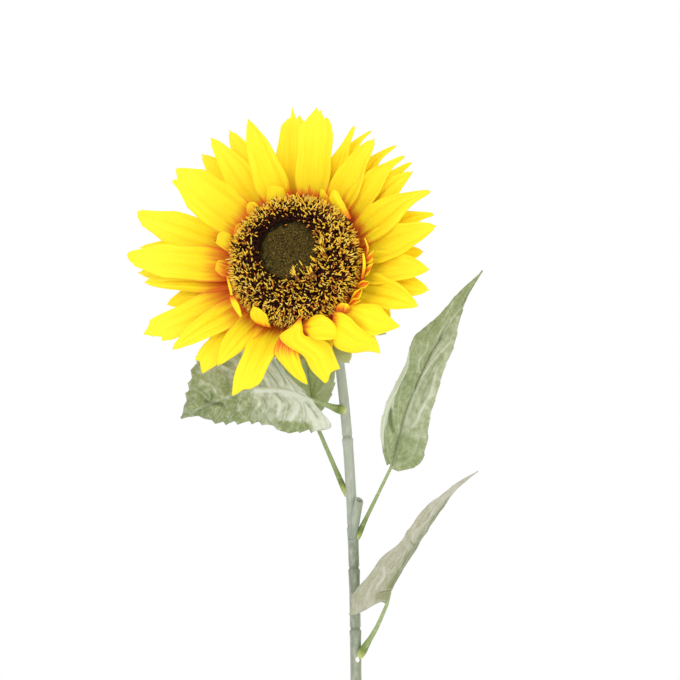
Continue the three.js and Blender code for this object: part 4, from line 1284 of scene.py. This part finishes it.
def make_petals():
    # The back and middle layers lie under the front one, and are shifted towards orange as painted shade.
    layer_shades = {"back": -0.3, "middle": -0.15, "front": 0.0}
    for k, (name, layer) in enumerate(PETALS.items()):
        make_layer("petal", name, layer, petal_look(name, layer_shades[name]), 100 * k)
    bm = mesh_with(*BLADE_TAGS)
    for i, (extent, curves) in enumerate(FLAPS):
        add_flap(bm, curves, 500 + i, (44, 28), 0.25, 0.6, extent)
    piece("petals_flaps", bm, [petal_look("flaps")], [], 0.35)
    bm = mesh_with(*BLADE_TAGS)
    for i, (extent, curves) in enumerate(CURLS):
        add_flap(bm, curves, 520 + i, (18, 12), 0.1, 0.2, extent)
    for i, curves in enumerate(HOLLOWS):
        add_flap(bm, curves, 550 + i, (18, 12), 0.05, 0)
    piece("petals_curls", bm, [petal_look("curls")], ["petal_layer_curls"], 0.3)
    green = sepal_look()
    for k, (name, layer) in enumerate(SEPALS.items()):
        make_layer("sepal", name, layer, green, 600 + 50 * k)


# ---- Calyx cup ----


def make_calyx():
    profile = [
        [0.01, -20], [4.6, -20], [5.4, -19.2], [6.4, -17.6], [12, -14.6], [20, -12.6],
        [27, -10.6], [30.4, -9.4], [30.6, -8.9], [28, -8.7], [0.01, -8.7],
    ]

    def ribs(radius, height, turn):
        wave = 0.35 * np.cos(24 * turn) * smooth(radius, 6, 14) * (1 - smooth(radius, 27, 30.5))
        return radius, height - wave * (height < -8.8)

    bm = bmesh.new()
    lathe(bm, through(profile, np.linspace(0, 1, 80)), 144, ribs)
    look = Look("Calyx cup plastic", roughness=0.5, Specular_IOR_Level=0.4)
    where = look.place()
    mottle = look.noise(where, 260, 4, 0.6)
    tone = look.ramp(mottle, (0.3, 112, 130, 58), (0.55, 142, 158, 80), (0.75, 172, 182, 116))
    plastic = look.finish(tone, look.bump(look.noise(where, 1300, 3), 0.12, 0.5))
    piece("calyx", bm, [plastic], ["calyx_cup"])


# ---- Disc ----

# The dome of the disc in section: an arc about RING_CENTRE and RING_HEIGHT, from FOOT_ANGLE to its
# top at RING_SHARE of the way, and then a slope down inwards, under the felt. The ground lies
# GROUND_DEPTH inside this skin, and strands start at STRAND_DEPTH. The felt is round on PATCH_SHIFT.
RING_CENTRE, RING_RADIUS, RING_HEIGHT = 25, 13.5, 12
FOOT_ANGLE, RING_SHARE = math.radians(-35), 0.8
GROUND_DEPTH, STRAND_DEPTH = 2.6, 3.0
PATCH_SHIFT, PATCH_RADIUS = np.array([-1.5, 4.5]), 18.2
GOLDEN_ANGLE = 2.399963


def dome_section(t, shrink):
    """Radius, height and outward normal, shrink inside the dome's skin, at t from its foot at 0
    to its inner edge at 1."""
    angle = mix(FOOT_ANGLE, math.radians(90), np.minimum(t / RING_SHARE, 1))
    rise = np.where(angle < 0, 8.0, 17.0)
    inner = np.maximum(t - RING_SHARE, 0) / 0.2
    radius = RING_CENTRE + RING_RADIUS * np.cos(angle) - inner * 10
    height = RING_HEIGHT + rise * np.sin(angle) - 2.2 * inner**1.5
    nr, nz = np.cos(angle) / RING_RADIUS - 0.02 * inner, np.sin(angle) / rise
    size = np.hypot(nr, nz)
    nr, nz = nr / size, nz / size
    return radius - shrink * nr, height - shrink * nz, nr, nz


def make_disc():
    radius, height, _, _ = dome_section(np.linspace(0, 1, 60), GROUND_DEPTH)
    profile = np.array([[0.01, 0.3], [29, 0.3], *zip(radius, height), [0.01, height[-1]]])

    def plush(radius, height, turn):
        lump = 0.4 * np.sin(turn * 61 + height * 3) * np.sin(turn * 37 - height * 4)
        return radius + lump * (radius > 10), height + 0.5 * lump

    bm = bmesh.new()
    lathe(bm, profile, 160, plush)
    look = Look("Disc ground", roughness=0.95, Specular_IOR_Level=0.05)
    grain = look.noise(look.place(), 900, 4, 0.7)
    tone = look.ramp(grain, (0.35, 28, 11, 14), (0.6, 54, 27, 20), (0.8, 92, 58, 32))
    ground = look.finish(tone, look.bump(grain, 0.6, 0.9))
    piece("disc_ground", bm, [ground], ["disc_floret_ring"])
    make_florets()
    make_patch()


def strand_shape():
    """A tapering three-sided strand of unit height, as vertices and triangles."""
    bm = bmesh.new()
    bmesh.ops.create_circle(bm, cap_ends=True, segments=3, radius=0.9)
    bm.faces.ensure_lookup_table()
    face = bm.faces[0]
    for height, radius in ((0.3, 0.95), (0.55, 0.9), (0.78, 0.8), (1.0, 0.35)):
        made = bmesh.ops.extrude_face_region(bm, geom=[face])["geom"]
        bmesh.ops.delete(bm, geom=[face], context="FACES_ONLY")
        face = next(g for g in made if isinstance(g, bmesh.types.BMFace))
        for vert in face.verts:
            flat = Vector((vert.co.x, vert.co.y)).normalized() * radius
            vert.co = Vector((flat.x, flat.y, height))
    bmesh.ops.recalc_face_normals(bm, faces=bm.faces)
    bmesh.ops.triangulate(bm, faces=bm.faces)
    bm.verts.ensure_lookup_table()
    points = np.array([v.co[:] for v in bm.verts])
    faces = np.array([[v.index for v in f.verts] for f in bm.faces])
    bm.free()
    return points, faces


def scatter(name, shape, colours, spots):
    """One joined mesh of a strand at every spot (at, way, size, thick, bend). Its foot takes the
    first colour and its upper half the second."""
    points, faces = shape
    upper = (points[faces].mean(axis=1)[:, 2] > 0.5).astype(np.int32)
    rng = random.Random(31)
    h = points[:, 2:]
    verts, tris = [], []
    for n, (at, way, size, thick, bend) in enumerate(spots):
        side = unit(np.cross(way, [0.31, 0.17, 0.93]))
        other = np.cross(way, side)
        spin = rng.uniform(0, 2 * math.pi)
        a = math.cos(spin) * side + math.sin(spin) * other
        b = math.cos(spin) * other - math.sin(spin) * side
        section = points[:, :1] * a * thick + points[:, 1:2] * b * thick
        verts.append(at + section + h * size * way + bend * h * h * size * a)
        tris.append(faces + n * len(points))
    mesh = bpy.data.meshes.new(name)
    mesh.from_pydata((np.vstack(verts) * MM).tolist(), [], np.vstack(tris).tolist())
    for tag, colour, rough in colours:
        look = Look(tag, roughness=rough, Specular_IOR_Level=0.05, Base_Color=srgb(*colour))
        mesh.materials.append(look.material)
    mesh.polygons.foreach_set("material_index", np.tile(upper, len(spots)))
    made = shown(name, mesh)
    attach(made, "root")


# Knots of longer strands over the edge of the felt: x, y, spread and how many strands. Then a
# bare spot of the ring: x, y and radius.
KNOTS = [
    [2.9, -9.8, 1.8, 26], [6.5, -12.5, 1.6, 14], [13.3, -11.6, 2.2, 34], [20, 6.5, 1.6, 14],
    [15.5, -3, 1.4, 10],
]
BARE = [19.4, -12.8, 3.0]
# Tufts of stout strands that lie over the felt: foot, head, how far the heads spread, strands.
TUFTS = [
    ([7.5, -15.5, 28.5], [3, -8.8, 31], 1.1, 8), ([16.5, -15.5, 29], [13, -9, 31.5], 1.0, 7),
    ([11, -9.5, 28], [8.4, -4, 31], 0.1, 1), ([22.5, -2, 30], [20.2, 3.5, 33], 0.9, 6),
    ([20.2, 2, 30], [20.6, 9.5, 32.5], 1.0, 5), ([19.5, 3.5, 30], [15.5, 2, 32], 0.6, 3),
]
RING_STRANDS, KNOT_LENGTH = 3700, 1.45
ROLLS = [("cream", 0.17), ("gold", 0.55), ("amber", 0.68)]
# Each group of strands: the colour and roughness of its feet and of its upper halves.
STRANDS = {
    "cream": [("Floret foot cream", (106, 60, 34), 0.9), ("Floret cream", (250, 222, 108), 0.7)],
    "gold": [("Floret foot", (96, 48, 26), 0.9), ("Floret gold", (255, 208, 62), 0.7)],
    "amber": [("Floret foot amber", (60, 26, 20), 0.9), ("Floret amber", (210, 130, 52), 0.7)],
    "tuft": [("Floret foot tuft", (150, 92, 34), 0.9), ("Floret tuft", (255, 214, 74), 0.7)],
    "dark": [("Floret foot dark", (28, 11, 13), 0.9), ("Floret dark", (64, 30, 22), 0.8)],
}


def strand_places(rng):
    """Every strand's share up the dome, place in the bloom's plan and length: evenly all over the
    ring in golden-angle order, and then the knots."""
    shares = np.linspace(0.0, 1.0, 400)
    radius, height, _, _ = dome_section(shares, GROUND_DEPTH)
    area = running(np.hypot(np.diff(radius), np.diff(height)) * radius[1:])
    places = []
    for n in range(RING_STRANDS):
        t = np.interp((n + rng.uniform(-0.5, 0.5)) / RING_STRANDS * area[-1], area, shares)
        turn = n * GOLDEN_ANGLE + rng.uniform(-0.06, 0.06)
        r = dome_section(t, STRAND_DEPTH)[0]
        places.append((t, r * math.cos(turn), r * math.sin(turn), 1.0))
    # Knots lie on the dome above the ring's widest line, where its radius only shrinks.
    upper = shares[120:]
    rings = dome_section(upper, STRAND_DEPTH)[0]
    for x, y, spread, number in KNOTS:
        for _ in range(number):
            px, py = x + rng.gauss(0, spread), y + rng.gauss(0, spread)
            t = np.interp(-math.hypot(px, py), -rings, upper)
            places.append((t, px, py, KNOT_LENGTH))
    return places


def make_florets():
    """Gold strands on dark feet all over the ring, but for the felt and the bare spot."""
    rng = random.Random(7)
    groups = {kind: [] for kind in STRANDS}
    for t, x, y, length in strand_places(rng):
        r = math.hypot(x, y)
        px, py = x - PATCH_SHIFT[0], y - PATCH_SHIFT[1]
        gap = math.hypot(px, py) - PATCH_RADIUS
        knotted = length > 1
        # At the patch's upper left edge some strands stray over the felt. shade runs up to 1 towards
        # that edge, where the strands are painted dark as the ring wall's shadow.
        shade = math.cos(math.atan2(py, px) - math.radians(140))
        stray = -4 < gap < 0 and rng.random() < 0.2 * shade
        bare = math.hypot(x - BARE[0], y - BARE[1]) < BARE[2] * rng.uniform(0.6, 1.1)
        if not knotted and (bare or gap < 0 and not stray):
            continue
        _, h, nr, nz = dome_section(t, STRAND_DEPTH)
        upright = np.array([nr * x / max(r, 1e-6), nr * y / max(r, 1e-6), nz])
        loose = np.array([rng.gauss(0, 1) for _ in range(3)])
        way = unit(upright + 0.46 * loose)
        if way @ upright < 0.25:
            continue
        rim = smooth(r, 33, 37.5)
        size = rng.uniform(3.2, 6.2) * length
        size = size * (0.6 + 0.4 * smooth(gap, -2, 5)) * (1 - 0.15 * rim)
        # The roll picks the colour, which is darker for more strands at the rim and at the felt, and
        # darkest at the felt's upper left edge as painted shadow.
        roll = rng.random() * (1 - 0.25 * smooth(r, 22, 32)) + 0.17 * rim
        if gap <= 3.5 and not knotted:
            roll = roll + 0.15 + 0.4 * max(shade, 0.0)
        kind = next((kind for kind, most in ROLLS if roll < most), "dark")
        thick = rng.uniform(0.44, 0.64) * (1.15 if knotted else 1.0)
        at = in_bloom(np.array([x, y, h]))
        groups[kind].append((at, along_bloom(way), size, thick, rng.uniform(0.05, 0.5)))
    for foot, head, spread, number in TUFTS:
        for _ in range(number):
            start = in_bloom(np.array(foot) + [rng.gauss(0, 0.8) for _ in range(3)])
            reach = in_bloom(np.array(head) + [rng.gauss(0, spread) for _ in range(3)]) - start
            size = np.linalg.norm(reach)
            thick, bend = rng.uniform(0.3, 0.5), rng.uniform(-0.3, 0.3)
            groups["tuft"].append((start, reach / size, size, thick, bend))
    shape = strand_shape()
    for kind, colours in STRANDS.items():
        scatter("florets_" + kind, shape, colours, groups[kind])


def make_patch():
    """The brown felt patch over the middle of the disc, with painted shadow as a near-black crescent
    at its upper left edge.
    """
    profile = [[0.01, 28.0], [6, 27.8], [12, 27.3], [16.4, 26.4], [18.2, 25], [18.4, 23]]
    profile = np.vstack([through(profile, np.linspace(0, 1, 50)), [[0.01, 22.5]]])

    def felt(radius, height, turn):
        x, y = radius * np.cos(turn), radius * np.sin(turn)
        return radius, height + 0.25 * ripple(x * 0.9, y * 0.9, 9, 4) * (radius < 18)

    bm = bmesh.new()
    lathe(bm, profile, 96, felt, PATCH_SHIFT)
    look = Look("Disc felt", roughness=0.98, Specular_IOR_Level=0.0)
    where = look.place()
    x, y = look.uv()
    # The dark edge is measured from a middle set down and to the right, so the painted shadow lies at the
    # upper left.
    middle = (0.57, 0.43, 0.0)
    off = look.node("VectorMath", look.joined(x, y), middle, operation="DISTANCE").outputs["Value"]
    edge = look.plus(off, look.times(look.noise(where, 260, 3), 0.3))
    grain = look.noise(where, 1050, 5, 0.8)
    cloud = look.noise(where, 240, 4, 0.7)
    tone = look.ramp(
        grain, (0.38, 18, 12, 7), (0.49, 52, 42, 21), (0.58, 102, 84, 43), (0.68, 172, 148, 88)
    )
    tone = look.over(tone, (80, 66, 26), cloud, 0.4, 0.62, 0.6)
    tone = look.over(tone, (40, 42, 18), cloud, 0.52, 0.36, 0.5)
    # Painted shadow: near-black at the felt's upper left edge, below the ring's wall.
    tone = look.over(tone, (18, 12, 9), edge, 0.53, 0.63, 0.9)
    felted = look.finish(tone, look.bump(grain, 0.7, 0.9))
    piece("disc_felt", bm, [felted], ["disc_centre"])


# ---- Build ----

# The colours of each leaf cloth, from its ground to its deep tone, and how combed it is.
CLOTHS = {
    "sage": [(118, 130, 76), (138, 149, 98), (212, 217, 200), (210, 216, 196), (84, 98, 56), 0.14],
    "moss": [(130, 142, 92), (146, 156, 110), (200, 206, 182), (196, 202, 174), (88, 104, 56), 0.16],
    "back": [(152, 166, 104), (168, 180, 124), (198, 206, 166), (186, 196, 152), (104, 120, 62), 0.12],
    "beige": [(138, 141, 100), (154, 153, 120), (182, 179, 162), (210, 207, 192), (98, 112, 60), 0.4],
}
# What each leaf is tinted by, and the cloths of its front and back.
DRESSED = {
    "upper_left": (tint_upper_left, ["sage", "back"]),
    "rear_left": (tint_rear_left, ["back"]),
    "upper_right": (tint_upper_right, ["moss", "back"]),
    "lower_right": (tint_lower_right, ["beige", "back"]),
}

make_stem()
sleeve = stalk_look()
for name, leaf in LEAVES.items():
    make_stalk(name, leaf, sleeve)
make_glue_bead()
cloths = {name: leaf_look("Leaf cloth " + name, *tones) for name, tones in CLOTHS.items()}
for k, (name, (tint, sides)) in enumerate(DRESSED.items()):
    make_leaf(name, LEAVES[name], tint, [cloths[side] for side in sides], 11 + k)
make_petals()
make_calyx()
make_disc()

# ---- Floor, light and camera ----

bm = bmesh.new()
bmesh.ops.create_circle(bm, cap_ends=True, segments=128, radius=1.8)
mesh = bpy.data.meshes.new("floor")
bm.to_mesh(mesh)
bm.free()
mesh.materials.append(Look("Floor", roughness=0.9, Base_Color=(0.86, 0.86, 0.86, 1)).material)
floor = bpy.data.objects.new("floor", mesh)
bpy.context.collection.objects.link(floor)

# The studio is white, and a little brighter to the plant than to the camera.
world = bpy.data.worlds.new("Studio")
bpy.context.scene.world = world
world.use_nodes = True
tree = world.node_tree
background = tree.nodes["Background"]
background.inputs["Color"].default_value = (1, 1, 1, 1)
seen = tree.nodes.new("ShaderNodeLightPath").outputs["Is Camera Ray"]
level = tree.nodes.new("ShaderNodeMapRange")
tree.links.new(seen, level.inputs["Value"])
level.inputs["To Min"].default_value = 1.1
level.inputs["To Max"].default_value = 1.0
tree.links.new(level.outputs[0], background.inputs["Strength"])


def aimed(name, data, at, way):
    """An object for a lamp or a camera at a place, that looks along a direction."""
    made = bpy.data.objects.new(name, data)
    made.location = at
    made.rotation_mode = "QUATERNION"
    made.rotation_quaternion = way.to_track_quat("-Z", "Y")
    bpy.context.collection.objects.link(made)
    return made


# Lamps: place, aim and size in metres, and power in watts.
for name, at, aim, size, power in (
    ("Key", (-0.9, -2.0, 1.2), (0, 0, 0.45), 1.1, 9.5),
    ("Fill", (1.4, -1.4, 0.6), (0, 0, 0.45), 1.4, 7),
    ("Back", (0.5, 1.6, 1.5), (0, 0, 0.4), 1.2, 8),
):
    data = bpy.data.lights.new(name, "AREA")
    data.shape, data.size, data.energy = "DISK", size, power
    aimed(name, data, at, Vector(aim) - Vector(at))

# In metres: how far the camera is, and how wide it sees the plane that lies FRONT before the stem.
DISTANCE, FRONT, VIEW_WIDTH, SENSOR = 3.2, 0.025, 0.398, 36
camera_data = bpy.data.cameras.new("Camera")
camera_data.sensor_width = SENSOR
camera_data.lens = SENSOR * (DISTANCE - FRONT) / VIEW_WIDTH
camera_data.clip_end = 50
place = (-0.0099, -DISTANCE, 0.474)
bpy.context.scene.camera = aimed("Camera", camera_data, place, Vector((0, 1, 0)))
bpy.context.scene.view_settings.view_transform = "Standard"
